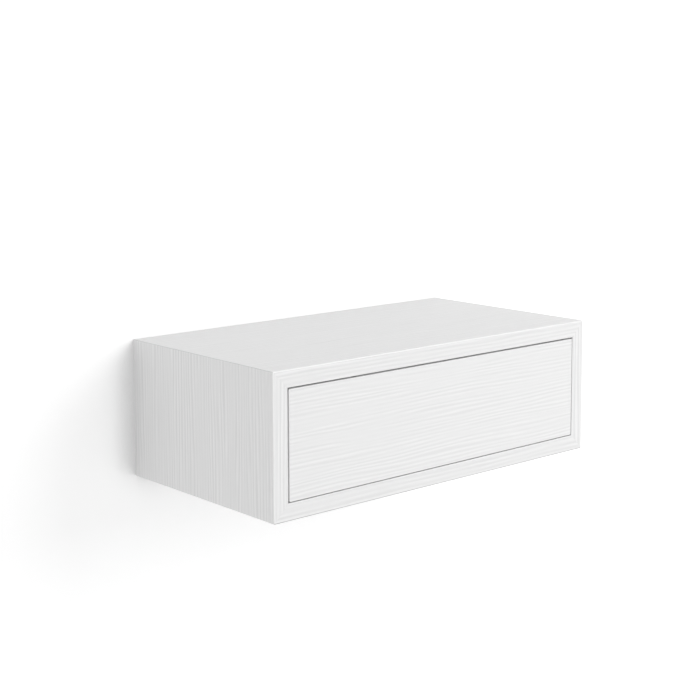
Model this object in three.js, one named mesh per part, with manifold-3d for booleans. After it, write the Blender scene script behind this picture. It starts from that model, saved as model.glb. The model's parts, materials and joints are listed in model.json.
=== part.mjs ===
// Floating nightstand: a mitred case that hangs on a wall, with one push-to-open drawer
// on full-extension ball-bearing runners.
// Millimetres. The origin is the middle of the rear face, on the wall.
// +X is to the right seen from the room, +Y goes into the wall and +Z is up.

import * as THREE from "three";
import { mergeVertices } from "three/addons/utils/BufferGeometryUtils.js";
import Module from "manifold-3d";

const wasm = await Module();
wasm.setup();

// Case
const CASE_WIDTH = 460;
const CASE_DEPTH = 245;
const CASE_HEIGHT = 152;
const BOARD_THICKNESS = 18;
const BACK_THICKNESS = 16;
const BOARD_ARRIS = 0.8; // round on the front and rear edges of the boards
const CASE_CORNER_RADIUS = 1.2; // round on the four long corners
const MITRE_GLUE_LINE = 0.2;

// Loose tongues in the mitres
const SPLINE_THICKNESS = 4;
const SPLINE_WIDTH = 13;
const SPLINE_SETBACK = 25; // from the front and rear edges of the case
const SPLINE_INSET = 0.5; // from the middle of the mitre towards the inner corner, across and up

// Dowels between the back and the sides
const DOWEL_DIAMETER = 8;
const DOWEL_LENGTH = 30;
const DOWEL_CHAMFER = 1;
const DOWEL_DEPTH_IN_SIDE = 11;
const DOWEL_FROM_MIDDLE = 30; // above and below the middle of the back

// Holes in the back for the wall screws
const WALL_HOLE_DIAMETER = 6.5;
const WALL_SINK_DIAMETER = 13;
const WALL_SINK_DEPTH = 4;
const WALL_HOLE_FROM_END = 60;
const WALL_HOLE_FROM_EDGE = 26;

// Drawer
const REVEAL = 1.5; // dark gap all round the drawer front
const FRONT_THICKNESS = 18;
const FRONT_ARRIS = 0.8;
const FRONT_CORNER_RADIUS = 1.2;
const DRAWER_SIDE_THICKNESS = 12;
const DRAWER_TOP_ROUND = 2; // on the upper edges of the drawer box
const DRAWER_FLOOR_CLEARANCE = 18; // from the case floor to the drawer sides
const DRAWER_TOP_CLEARANCE = 18; // from the drawer sides to the board above
const DRAWER_REAR_CLEARANCE = 8.9; // from the drawer sides to the case back
const DRAWER_BACK_THICKNESS = 12;
const DRAWER_BOTTOM_THICKNESS = 4;
const DRAWER_BOTTOM_RISE = 8; // from the lower edge of the sides to the groove
const DRAWER_GROOVE_DEPTH = 6;
const DRAWER_GROOVE_PLAY = 0.15;
const DRAWER_PUSH_IN = 2; // past closed, to trip the latch

// Ball-bearing runners
const RUNNER_HEIGHT = 35;
const RUNNER_THICKNESS = 12.7; // from the case side to the drawer side
const RUNNER_SHEET = 1;
const RUNNER_BEND = 1; // bend radius at the middle of the sheet
const RUNNER_SETBACK = 4; // of the fixed and middle members behind the drawer front
const RUNNER_REAR_CLEARANCE = 7; // from the runners to the case back
const RUNNER_OVERLAP = 5; // how far the travel falls short of the runner's length
const DRAWER_RUNNER_SETBACK = 1; // of the drawer member behind the drawer front
const RUNNER_SCREW_FROM_END = 35;
const ACCESS_HOLE_DIAMETER = 10;
const RACE_FLAT = 1; // from the bend of the middle member to its outer ball row
const RACE_CLEARANCE = 0.15;
const RACE_SWING = THREE.MathUtils.degToRad(25); // turn of the S between the two ball rows
const RACE_LIP = THREE.MathUtils.degToRad(5); // how far a lip reaches below its ball's middle
const RACE_HOLD = THREE.MathUtils.degToRad(45); // how far the drawer member wraps its ball
const BALL_DIAMETER = 3;
const BALLS_PER_ROW = 6;
const CAGE_SHEET = 0.5;
const CAGE_PLAY = 0.2;
const CAGE_ARM_REACH = 1; // past the middle of the balls
const CAGE_END_MARGIN = 6; // left at each end when the drawer is open

// Push latch under the drawer
const LATCH_LENGTH = 70;
const LATCH_WIDTH = 14;
const LATCH_HEIGHT = 13;
const LATCH_SHOULDER_RADIUS = 5;
const LATCH_AXIS_HEIGHT = 6.8;
const LATCH_FOOT_WIDTH = 34;
const LATCH_FOOT_LENGTH = 16;
const LATCH_FOOT_THICKNESS = 3;
const LATCH_FOOT_RADIUS = 4;
const LATCH_FOOT_FROM_FRONT = 27;
const LATCH_SCREW_FROM_MIDDLE = 12;
const PLUNGER_DIAMETER = 7;
const PLUNGER_LENGTH = 52;
const PLUNGER_STANDOUT = 2.5; // in front of the housing at rest
const PLUNGER_STUB_DIAMETER = 4;
const PLUNGER_STUB_LENGTH = 3;
const TIP_DIAMETER = 10;
const TIP_LENGTH = 5.5;
const TIP_ROUND = 1.5;

// Cam fittings between the drawer front and the drawer sides
const CAM_DIAMETER = 12;
const CAM_WALL = 2.5; // left between a cam and the outer face of the side
const CAM_FROM_FRONT = 24; // from the rear of the drawer front
const CAM_FROM_LOWER_EDGE = 24;
const CAM_FROM_UPPER_EDGE = 16;
const CAM_SLOT_LENGTH = 7;
const CAM_SLOT_WIDTH = 1.2;
const CAM_SLOT_DEPTH = 1.5;
const BOLT_THREAD_DIAMETER = 6;
const BOLT_THREAD_LENGTH = 10;
const BOLT_NECK_DIAMETER = 3.6;
const BOLT_HEAD_DIAMETER = 5;
const BOLT_HEAD_LENGTH = 3;

// Screws
const DRAWER_SCREW_FROM_LOWER_EDGE = 24;
const DRAWER_SCREW_FROM_UPPER_EDGE = 14;
const BOTTOM_SCREW_FROM_SIDE = 90;
const RUNNER_SCREW = { head: 6.4, headHeight: 2.2, shank: 3.4, length: 10, point: 2 };
const LATCH_SCREW = { head: 6.8, headHeight: 2.4, shank: 3.5, length: 15, point: 3 };
const DRAWER_SCREW = { head: 7.6, headHeight: 2.8, shank: 4, length: 34, point: 4 };
const BOTTOM_SCREW = { head: 6, headHeight: 2, shank: 3, length: 20, point: 3 };

// Clearances
const FIT = 0.3; // round what sits in a hole, a groove or a bore
const SEAT = 0.1; // between flat faces that are fastened together
const OVERRUN = 2; // of a cutter past the face that it cuts

// Facets
const ROUND_STEPS = 20;
const SCREW_STEPS = 12;
const ARC_STEPS = 2;
const ARRIS_STEPS = 2;
const BALL_STEPS = 6;
const BALL_RINGS = 5;
const MERGE_DISTANCE = 0.0001;

// Places worked out from the sizes
const OPENING_HALF_WIDTH = CASE_WIDTH / 2 - BOARD_THICKNESS;
const OPENING_HALF_HEIGHT = CASE_HEIGHT / 2 - BOARD_THICKNESS;
const DRAWER_HALF_WIDTH = OPENING_HALF_WIDTH - RUNNER_THICKNESS;
const DRAWER_INSIDE_HALF_WIDTH = DRAWER_HALF_WIDTH - DRAWER_SIDE_THICKNESS;
const SPLINE_FROM_INNER_CORNER = BOARD_THICKNESS / 2 - SPLINE_INSET;
const DRAWER_LOWER_EDGE = DRAWER_FLOOR_CLEARANCE - OPENING_HALF_HEIGHT;
const DRAWER_UPPER_EDGE = OPENING_HALF_HEIGHT - DRAWER_TOP_CLEARANCE;
const DRAWER_SIDE_HEIGHT = DRAWER_UPPER_EDGE - DRAWER_LOWER_EDGE;
const DRAWER_REAR = CASE_DEPTH - BACK_THICKNESS - DRAWER_REAR_CLEARANCE;
const DRAWER_SIDE_LENGTH = DRAWER_REAR - SEAT - FRONT_THICKNESS;
const DRAWER_BOTTOM_LOW = DRAWER_LOWER_EDGE + DRAWER_BOTTOM_RISE + DRAWER_GROOVE_PLAY;
const DRAWER_BOTTOM_TOP = DRAWER_BOTTOM_LOW + DRAWER_BOTTOM_THICKNESS;
const RUNNER_FRONT = FRONT_THICKNESS + RUNNER_SETBACK - CASE_DEPTH;
const RUNNER_REAR = -BACK_THICKNESS - RUNNER_REAR_CLEARANCE;
const RUNNER_LENGTH = RUNNER_REAR - RUNNER_FRONT;
const DRAWER_TRAVEL = RUNNER_LENGTH - RUNNER_OVERLAP;
const DRAWER_RUNNER_SHIFT = RUNNER_SETBACK - DRAWER_RUNNER_SETBACK;
const LATCH_TIP_FACE = FRONT_THICKNESS + DRAWER_PUSH_IN + FIT - CASE_DEPTH;
const LATCH_FRONT = LATCH_TIP_FACE + TIP_LENGTH + SEAT + PLUNGER_STANDOUT;
const CAM_DEPTH = DRAWER_SIDE_THICKNESS - CAM_WALL;

// Section of a runner: u runs from the case side to the drawer side
const RACE_RADIUS = BALL_DIAMETER / 2 + RACE_CLEARANCE + RUNNER_SHEET / 2;
const CABINET_WEB = SEAT + RUNNER_SHEET / 2;
const OUTER_CAGE_WEB = CABINET_WEB + RUNNER_SHEET / 2 + CAGE_PLAY + CAGE_SHEET / 2;
const MIDDLE_WEB = OUTER_CAGE_WEB + CAGE_SHEET / 2 + CAGE_PLAY + RUNNER_SHEET / 2;
const INNER_CAGE_WEB = MIDDLE_WEB + RUNNER_SHEET / 2 + CAGE_PLAY + CAGE_SHEET / 2;
const DRAWER_WEB = RUNNER_THICKNESS - SEAT - RUNNER_SHEET / 2;
const OUTER_BALL = new THREE.Vector2(
  MIDDLE_WEB + RUNNER_BEND + RACE_FLAT,
  RUNNER_HEIGHT / 2 - RUNNER_SHEET / 2 - RACE_RADIUS,
);
const INNER_BALL = new THREE.Vector2(
  OUTER_BALL.x + 2 * RACE_RADIUS * Math.sin(RACE_SWING),
  OUTER_BALL.y - 2 * RACE_RADIUS * Math.cos(RACE_SWING),
);
const CAGE_LENGTH = RUNNER_LENGTH - DRAWER_TRAVEL / 2 - 2 * CAGE_END_MARGIN;

// Heights above the lower edge of the drawer sides
const CAM_HEIGHTS = {
  lower: CAM_FROM_LOWER_EDGE,
  upper: DRAWER_SIDE_HEIGHT - CAM_FROM_UPPER_EDGE,
};
const DRAWER_SCREW_HEIGHTS = {
  lower: DRAWER_SCREW_FROM_LOWER_EDGE,
  upper: DRAWER_SIDE_HEIGHT - DRAWER_SCREW_FROM_UPPER_EDGE,
};

const SIDES = { left: -1, right: 1 };
const QUARTER_TURN = Math.PI / 2;
const AXES = {
  right: new THREE.Vector3(1, 0, 0),
  rear: new THREE.Vector3(0, 1, 0),
  up: new THREE.Vector3(0, 0, 1),
  down: new THREE.Vector3(0, 0, -1),
};

// Materials

function material(name, color, roughness, metalness = 0) {
  const finish = new THREE.MeshStandardMaterial({ color, roughness, metalness });
  finish.name = name;
  return finish;
}

function whiteAshLaminate() {
  return material("white_ash_laminate", 0xecebe9, 0.55);
}

function whiteBoard() {
  return material("white_board", 0xf1f0ec, 0.5);
}

function whiteHardboard() {
  return material("white_hardboard", 0xeeede8, 0.6);
}

function birchPlywood() {
  return material("birch_plywood", 0xd8c3a0, 0.7);
}

function beech() {
  return material("beech", 0xcfa97c, 0.65);
}

function zincSteel() {
  return material("zinc_steel", 0xb8bbbe, 0.35, 1);
}

function castZinc() {
  return material("cast_zinc", 0xa9abad, 0.42, 1);
}

function cagePlastic() {
  return material("cage_plastic", 0x303234, 0.5);
}

function latchPlastic() {
  return material("latch_plastic", 0xd9dad8, 0.45);
}

function tipRubber() {
  return material("tip_rubber", 0x8b8d8f, 0.8);
}

// Solids for cutting and joining

function solidOf(geometry) {
  const plain = geometry.clone();
  plain.deleteAttribute("normal");
  plain.deleteAttribute("uv");
  const merged = mergeVertices(plain, MERGE_DISTANCE);
  const corners = [];
  for (let first = 0; first < merged.index.count; first += 3) {
    const [a, b, c] = merged.index.array.slice(first, first + 3);
    if (a !== b && b !== c && c !== a) {
      corners.push(a, b, c);
    }
  }
  const vertProperties = new Float32Array(merged.attributes.position.array);
  const triVerts = new Uint32Array(corners);
  return new wasm.Manifold(new wasm.Mesh({ numProp: 3, vertProperties, triVerts }));
}

function geometryOf(solid) {
  const mesh = solid.getMesh();
  const geometry = new THREE.BufferGeometry();
  const positions = new THREE.BufferAttribute(new Float32Array(mesh.vertProperties), 3);
  geometry.setAttribute("position", positions);
  geometry.setIndex(new THREE.BufferAttribute(new Uint32Array(mesh.triVerts), 1));
  geometry.computeVertexNormals();
  return geometry;
}

function cut(geometry, cutters) {
  const rest = cutters.reduce((solid, cutter) => solid.subtract(solidOf(cutter)), solidOf(geometry));
  return geometryOf(rest);
}

function join(geometry, additions) {
  const whole = additions.reduce((solid, addition) => solid.add(solidOf(addition)), solidOf(geometry));
  return geometryOf(whole);
}

function common(geometry, other) {
  return geometryOf(solidOf(geometry).intersect(solidOf(other)));
}

// Basic forms

function piece(name, geometry, finish, place = [0, 0, 0]) {
  const mesh = new THREE.Mesh(geometry, finish);
  mesh.name = name;
  mesh.position.set(...place);
  return mesh;
}

function aim(direction) {
  return new THREE.Quaternion().setFromUnitVectors(AXES.rear, direction);
}

function boxAt(size, place) {
  return new THREE.BoxGeometry(...size).translate(...place);
}

function barAt(direction, radius, length, place) {
  const bar = new THREE.CylinderGeometry(radius, radius, length, ROUND_STEPS);
  return bar.applyQuaternion(aim(direction)).translate(...place);
}

function revolve(profile, steps) {
  const points = profile.map(([radius, height]) => new THREE.Vector2(radius, height));
  return new THREE.LatheGeometry(points, steps);
}

// A section drawn in X and Z, drawn out towards the front over the given length.
function extrudeForward(shape, length, arris = 0) {
  const geometry = new THREE.ExtrudeGeometry(shape, {
    depth: length - 2 * arris,
    curveSegments: ARC_STEPS,
    bevelEnabled: arris > 0,
    bevelThickness: arris,
    bevelSize: arris,
    bevelOffset: -arris,
    bevelSegments: ARRIS_STEPS,
  });
  return geometry.rotateX(QUARTER_TURN).translate(0, -arris, 0);
}

// A section drawn in Y and Z, drawn out to the right over the given length.
function extrudeAcross(shape, length) {
  const geometry = new THREE.ExtrudeGeometry(shape, {
    depth: length,
    curveSegments: ARC_STEPS,
    bevelEnabled: false,
  });
  const turn = new THREE.Matrix4().makeBasis(AXES.rear, AXES.up, AXES.right);
  return geometry.applyMatrix4(turn).translate(-length / 2, 0, 0);
}

function roundedRectangle(width, height, radius) {
  const right = width / 2 - radius;
  const top = height / 2 - radius;
  const shape = new THREE.Shape();
  shape.absarc(right, top, radius, 0, QUARTER_TURN);
  shape.absarc(-right, top, radius, QUARTER_TURN, 2 * QUARTER_TURN);
  shape.absarc(-right, -top, radius, 2 * QUARTER_TURN, 3 * QUARTER_TURN);
  shape.absarc(right, -top, radius, 3 * QUARTER_TURN, 4 * QUARTER_TURN);
  shape.closePath();
  return shape;
}

// Screws and the room that they need

// The head's face is at the origin and the screw points towards -Y. A clearance widens it.
function countersunkScrew({ head, headHeight, shank, length, point }, clearance = 0) {
  const above = clearance > 0 ? OVERRUN : 0;
  const profile = [
    [0, -length - clearance],
    [shank / 2 + clearance, point - length - clearance],
    [shank / 2 + clearance, -headHeight],
    [head / 2 + clearance, 0],
    [head / 2 + clearance, above],
    [0, above],
  ];
  return revolve(clearance > 0 ? profile : profile.toSpliced(-2, 1), SCREW_STEPS);
}

function screwRoom(sizes, direction, place) {
  const room = countersunkScrew(sizes, FIT);
  return room.applyQuaternion(aim(direction.clone().negate())).translate(...place);
}

function screw(name, sizes, direction, place) {
  const mesh = piece(name, countersunkScrew(sizes), zincSteel(), place);
  mesh.quaternion.copy(aim(direction.clone().negate()));
  return mesh;
}

// Case

function caseRing() {
  const shape = roundedRectangle(CASE_WIDTH, CASE_HEIGHT, CASE_CORNER_RADIUS);
  const opening = new THREE.Path();
  opening.moveTo(-OPENING_HALF_WIDTH, -OPENING_HALF_HEIGHT);
  opening.lineTo(-OPENING_HALF_WIDTH, OPENING_HALF_HEIGHT);
  opening.lineTo(OPENING_HALF_WIDTH, OPENING_HALF_HEIGHT);
  opening.lineTo(OPENING_HALF_WIDTH, -OPENING_HALF_HEIGHT);
  opening.closePath();
  shape.holes.push(opening);
  return extrudeForward(shape, CASE_DEPTH, BOARD_ARRIS);
}

// The part of the ring that one board takes up, between its two mitres. The board lies on top of
// the ring, and quarterTurns swings it clockwise to another side.
function boardSector(length, acrossRing, quarterTurns) {
  const glue = MITRE_GLUE_LINE / Math.SQRT2;
  const outerLevel = acrossRing / 2 + OVERRUN;
  const innerLevel = acrossRing / 2 - BOARD_THICKNESS - OVERRUN;
  const outerEnd = length / 2 + OVERRUN - glue;
  const innerEnd = length / 2 - BOARD_THICKNESS - OVERRUN - glue;
  const shape = new THREE.Shape();
  shape.moveTo(-outerEnd, outerLevel);
  shape.lineTo(-innerEnd, innerLevel);
  shape.lineTo(innerEnd, innerLevel);
  shape.lineTo(outerEnd, outerLevel);
  shape.closePath();
  const sector = extrudeForward(shape, CASE_DEPTH + 2 * OVERRUN);
  return sector.translate(0, OVERRUN, 0).rotateY(quarterTurns * QUARTER_TURN);
}

const CORNERS = {
  top_left: [-1, 1],
  top_right: [1, 1],
  bottom_left: [-1, -1],
  bottom_right: [1, -1],
};

function splineTurn([across, up]) {
  return Math.atan2(across, up);
}

function splinePlace([across, up]) {
  const x = across * (OPENING_HALF_WIDTH + SPLINE_FROM_INNER_CORNER);
  const z = up * (OPENING_HALF_HEIGHT + SPLINE_FROM_INNER_CORNER);
  return [x, -CASE_DEPTH / 2, z];
}

function splineForm(clearance) {
  const length = CASE_DEPTH - 2 * SPLINE_SETBACK;
  const grown = [SPLINE_WIDTH, length, SPLINE_THICKNESS].map((size) => size + 2 * clearance);
  return new THREE.BoxGeometry(...grown);
}

function splineGroove(corner) {
  return splineForm(FIT).rotateY(splineTurn(corner)).translate(...splinePlace(corner));
}

function splines() {
  return Object.entries(CORNERS).map(([where, corner]) => {
    const mesh = piece(`corner_spline_${where}`, splineForm(0), birchPlywood(), splinePlace(corner));
    mesh.rotation.y = splineTurn(corner);
    return mesh;
  });
}

function dowelForm(clearance) {
  const radius = DOWEL_DIAMETER / 2 + clearance;
  const half = DOWEL_LENGTH / 2 + clearance;
  const profile = [
    [0, -half],
    [radius - DOWEL_CHAMFER, -half],
    [radius, DOWEL_CHAMFER - half],
    [radius, half - DOWEL_CHAMFER],
    [radius - DOWEL_CHAMFER, half],
    [0, half],
  ];
  return revolve(profile, SCREW_STEPS).applyQuaternion(aim(AXES.right));
}

const DOWEL_LEVELS = { upper: DOWEL_FROM_MIDDLE, lower: -DOWEL_FROM_MIDDLE };

function dowelPlace(side, level) {
  const x = side * (OPENING_HALF_WIDTH + DOWEL_DEPTH_IN_SIDE - DOWEL_LENGTH / 2);
  return [x, -BACK_THICKNESS / 2, level];
}

function dowelHoles(side) {
  return Object.values(DOWEL_LEVELS).map((level) => dowelForm(FIT).translate(...dowelPlace(side, level)));
}

function dowels() {
  return Object.entries(SIDES).flatMap(([sideName, side]) =>
    Object.entries(DOWEL_LEVELS).map(([levelName, level]) =>
      piece(`back_dowel_${sideName}_${levelName}`, dowelForm(0), beech(), dowelPlace(side, level)),
    ),
  );
}

function board(name, length, acrossRing, quarterTurns, cutters) {
  const blank = common(caseRing(), boardSector(length, acrossRing, quarterTurns));
  const grooves = Object.values(CORNERS).map(splineGroove);
  return piece(name, cut(blank, [...grooves, ...cutters]), whiteAshLaminate());
}

function sideBoard(name, side) {
  const runnerScrews = cabinetRunnerScrewPlaces(side).map(([x, y, z]) => {
    const place = [x + side * OPENING_HALF_WIDTH, y + RUNNER_REAR, z];
    return screwRoom(RUNNER_SCREW, AXES.right.clone().multiplyScalar(side), place);
  });
  return board(name, CASE_HEIGHT, CASE_WIDTH, side, [...dowelHoles(side), ...runnerScrews]);
}

function bottomBoard() {
  const latchScrews = latchScrewPlaces().map(([x, y, z]) => {
    const place = [x, y + LATCH_FRONT, z - OPENING_HALF_HEIGHT];
    return screwRoom(LATCH_SCREW, AXES.down, place);
  });
  return board("bottom_panel", CASE_WIDTH, CASE_HEIGHT, 2, latchScrews);
}

function backBoard() {
  const width = 2 * (OPENING_HALF_WIDTH - SEAT);
  const height = 2 * (OPENING_HALF_HEIGHT - SEAT);
  const blank = boxAt([width, BACK_THICKNESS, height], [0, -BACK_THICKNESS / 2, 0]);
  const wallScrew = {
    head: WALL_SINK_DIAMETER,
    headHeight: WALL_SINK_DEPTH,
    shank: WALL_HOLE_DIAMETER,
    length: BACK_THICKNESS + 2 * OVERRUN,
    point: OVERRUN,
  };
  const holes = Object.values(CORNERS).map(([across, up]) => {
    const x = across * (OPENING_HALF_WIDTH - WALL_HOLE_FROM_END);
    const z = up * (OPENING_HALF_HEIGHT - WALL_HOLE_FROM_EDGE);
    return screwRoom(wallScrew, AXES.rear, [x, -BACK_THICKNESS, z]);
  });
  const dowelled = [...dowelHoles(SIDES.left), ...dowelHoles(SIDES.right)];
  return piece("back_panel", cut(blank, [...holes, ...dowelled]), whiteBoard());
}

function nightstandCase() {
  const group = new THREE.Group();
  group.add(board("top_panel", CASE_WIDTH, CASE_HEIGHT, 0, []));
  group.add(bottomBoard());
  group.add(sideBoard("left_side_panel", SIDES.left));
  group.add(sideBoard("right_side_panel", SIDES.right));
  group.add(backBoard(), ...splines(), ...dowels());
  return group;
}

// Runners

function withoutRepeats(points) {
  return points.filter((point, i) => i === 0 || point.distanceTo(points[i - 1]) > MERGE_DISTANCE);
}

function offsetLine(line, distance) {
  return line.map((point, i) => {
    const from = line[Math.max(i - 1, 0)];
    const to = line[Math.min(i + 1, line.length - 1)];
    const arriving = i > 0 ? point.clone().sub(from).normalize() : to.clone().sub(point).normalize();
    const leaving = i < line.length - 1 ? to.clone().sub(point).normalize() : arriving;
    const along = arriving.clone().add(leaving).normalize();
    const normal = new THREE.Vector2(-along.y, along.x);
    return point.clone().addScaledVector(normal, distance / along.dot(arriving));
  });
}

// Sheet bent to a section that is alike above and below its middle. The path runs along the middle
// of the sheet, from the level of the axis upwards.
function sheetSection(upperPath, thickness, side) {
  const upper = withoutRepeats(upperPath.getPoints(ARC_STEPS));
  const lower = upper.slice(1).reverse();
  const line = [...lower.map((point) => new THREE.Vector2(point.x, -point.y)), ...upper];
  const outline = [...offsetLine(line, thickness / 2), ...offsetLine(line, -thickness / 2).reverse()];
  return new THREE.Shape(outline.map((point) => new THREE.Vector2(-side * point.x, point.y)));
}

function cabinetSection() {
  const top = OUTER_BALL.y + RACE_RADIUS;
  const path = new THREE.Path();
  path.moveTo(CABINET_WEB, 0);
  path.lineTo(CABINET_WEB, top - RUNNER_BEND);
  path.absarc(CABINET_WEB + RUNNER_BEND, top - RUNNER_BEND, RUNNER_BEND, Math.PI, QUARTER_TURN, true);
  path.absarc(OUTER_BALL.x, OUTER_BALL.y, RACE_RADIUS, QUARTER_TURN, -RACE_LIP, true);
  return path;
}

function middleSection() {
  const top = OUTER_BALL.y - RACE_RADIUS;
  const path = new THREE.Path();
  path.moveTo(MIDDLE_WEB, 0);
  path.lineTo(MIDDLE_WEB, top - RUNNER_BEND);
  path.absarc(MIDDLE_WEB + RUNNER_BEND, top - RUNNER_BEND, RUNNER_BEND, Math.PI, QUARTER_TURN, true);
  path.absarc(OUTER_BALL.x, OUTER_BALL.y, RACE_RADIUS, -QUARTER_TURN, RACE_SWING - QUARTER_TURN, false);
  path.absarc(INNER_BALL.x, INNER_BALL.y, RACE_RADIUS, QUARTER_TURN + RACE_SWING, -RACE_LIP, true);
  return path;
}

function drawerSection() {
  const top = INNER_BALL.y - RACE_RADIUS;
  const path = new THREE.Path();
  path.moveTo(DRAWER_WEB, 0);
  path.lineTo(DRAWER_WEB, top - RUNNER_BEND);
  path.absarc(DRAWER_WEB - RUNNER_BEND, top - RUNNER_BEND, RUNNER_BEND, 0, QUARTER_TURN, false);
  path.absarc(INNER_BALL.x, INNER_BALL.y, RACE_RADIUS, -QUARTER_TURN, -QUARTER_TURN - RACE_HOLD, true);
  return path;
}

function cageSection(web, ball) {
  const path = new THREE.Path();
  path.moveTo(web, 0);
  path.lineTo(web, ball.y);
  path.lineTo(ball.x + CAGE_ARM_REACH, ball.y);
  return path;
}

function runnerMember(section, side) {
  return extrudeForward(sheetSection(section, RUNNER_SHEET, side), RUNNER_LENGTH);
}

function runnerScrewPlaces(side, headOffset, shift) {
  const ends = { rear: -RUNNER_SCREW_FROM_END, front: RUNNER_SCREW_FROM_END - RUNNER_LENGTH };
  return Object.values(ends).map((along) => [-side * headOffset, along - shift, 0]);
}

function cabinetRunnerScrewPlaces(side) {
  return runnerScrewPlaces(side, CABINET_WEB + RUNNER_SHEET / 2, 0);
}

function drawerRunnerScrewPlaces(side) {
  return runnerScrewPlaces(side, DRAWER_WEB - RUNNER_SHEET / 2, DRAWER_RUNNER_SHIFT);
}

function screwedMember(name, blank, places, direction) {
  const holes = places.map((place) => screwRoom(RUNNER_SCREW, direction, place));
  const member = piece(name, cut(blank, holes), zincSteel());
  const [rear, front] = places;
  const rearScrew = screw(`${name}_screw_rear`, RUNNER_SCREW, direction, rear);
  const frontScrew = screw(`${name}_screw_front`, RUNNER_SCREW, direction, front);
  return [member, rearScrew, frontScrew];
}

function cabinetRunner(name, side) {
  const outwards = AXES.right.clone().multiplyScalar(side);
  const blank = runnerMember(cabinetSection(), side);
  return screwedMember(name, blank, cabinetRunnerScrewPlaces(side), outwards);
}

function drawerRunner(name, side) {
  const inwards = AXES.right.clone().multiplyScalar(-side);
  const blank = runnerMember(drawerSection(), side).translate(0, -DRAWER_RUNNER_SHIFT, 0);
  return screwedMember(name, blank, drawerRunnerScrewPlaces(side), inwards);
}

function middleRunner(name, side) {
  const holes = cabinetRunnerScrewPlaces(side).map(([, along]) =>
    barAt(AXES.right, ACCESS_HOLE_DIAMETER / 2, 2 * MIDDLE_WEB, [-side * MIDDLE_WEB, along, 0]),
  );
  return piece(name, cut(runnerMember(middleSection(), side), holes), zincSteel());
}

function ballCage(name, side, web, ball) {
  const strip = extrudeForward(sheetSection(cageSection(web, ball), CAGE_SHEET, side), CAGE_LENGTH);
  const pitch = CAGE_LENGTH / BALLS_PER_ROW;
  const balls = [];
  for (let i = 0; i < BALLS_PER_ROW; i += 1) {
    for (const level of [ball.y, -ball.y]) {
      const form = new THREE.SphereGeometry(BALL_DIAMETER / 2, BALL_STEPS, BALL_RINGS);
      balls.push(form.translate(-side * ball.x, -(i + 1 / 2) * pitch, level));
    }
  }
  const rear = (CAGE_LENGTH - RUNNER_LENGTH) / 2;
  return piece(name, join(strip, balls), cagePlastic(), [0, rear, 0]);
}

function runner(sideName, side) {
  const group = new THREE.Group();
  group.position.set(side * OPENING_HALF_WIDTH, RUNNER_REAR, 0);
  group.add(...cabinetRunner(`${sideName}_cabinet_runner`, side));
  group.add(ballCage(`${sideName}_outer_ball_cage`, side, OUTER_CAGE_WEB, OUTER_BALL));
  group.add(middleRunner(`${sideName}_middle_runner`, side));
  group.add(ballCage(`${sideName}_inner_ball_cage`, side, INNER_CAGE_WEB, INNER_BALL));
  group.add(...drawerRunner(`${sideName}_drawer_runner`, side));
  return group;
}

// Push latch: its frame is on the case floor, at the front end of the housing

function latchScrewPlaces() {
  const y = LATCH_FOOT_FROM_FRONT + LATCH_FOOT_LENGTH / 2;
  const z = SEAT + LATCH_FOOT_THICKNESS;
  return [-LATCH_SCREW_FROM_MIDDLE, LATCH_SCREW_FROM_MIDDLE].map((x) => [x, y, z]);
}

function latchHousing() {
  const half = LATCH_WIDTH / 2;
  const shoulder = LATCH_HEIGHT - LATCH_SHOULDER_RADIUS;
  const inset = half - LATCH_SHOULDER_RADIUS;
  const section = new THREE.Shape();
  section.moveTo(-half, SEAT);
  section.lineTo(half, SEAT);
  section.lineTo(half, shoulder);
  section.absarc(inset, shoulder, LATCH_SHOULDER_RADIUS, 0, QUARTER_TURN);
  section.absarc(-inset, shoulder, LATCH_SHOULDER_RADIUS, QUARTER_TURN, Math.PI);
  section.closePath();
  const barrel = extrudeForward(section, LATCH_LENGTH).translate(0, LATCH_LENGTH, 0);
  const footShape = roundedRectangle(LATCH_FOOT_WIDTH, LATCH_FOOT_LENGTH, LATCH_FOOT_RADIUS);
  const foot = new THREE.ExtrudeGeometry(footShape, {
    depth: LATCH_FOOT_THICKNESS,
    curveSegments: ARC_STEPS,
    bevelEnabled: false,
  });
  foot.translate(0, LATCH_FOOT_FROM_FRONT + LATCH_FOOT_LENGTH / 2, SEAT);
  const boreDepth = PLUNGER_LENGTH - PLUNGER_STANDOUT + DRAWER_PUSH_IN;
  const boreLength = boreDepth + OVERRUN;
  const borePlace = [0, boreLength / 2 - OVERRUN, LATCH_AXIS_HEIGHT];
  const bore = barAt(AXES.rear, PLUNGER_DIAMETER / 2 + FIT, boreLength, borePlace);
  const holes = latchScrewPlaces().map((place) => screwRoom(LATCH_SCREW, AXES.down, place));
  return piece("latch_housing", cut(join(barrel, [foot]), [bore, ...holes]), latchPlastic());
}

function latchPlunger() {
  const stub = PLUNGER_STUB_DIAMETER / 2;
  const rod = PLUNGER_DIAMETER / 2;
  const profile = [
    [0, -PLUNGER_STUB_LENGTH],
    [stub, -PLUNGER_STUB_LENGTH],
    [stub, 0],
    [rod, 0],
    [rod, PLUNGER_LENGTH],
    [0, PLUNGER_LENGTH],
  ];
  const place = [0, -PLUNGER_STANDOUT, LATCH_AXIS_HEIGHT];
  return piece("latch_plunger", revolve(profile, ROUND_STEPS), latchPlastic(), place);
}

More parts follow.
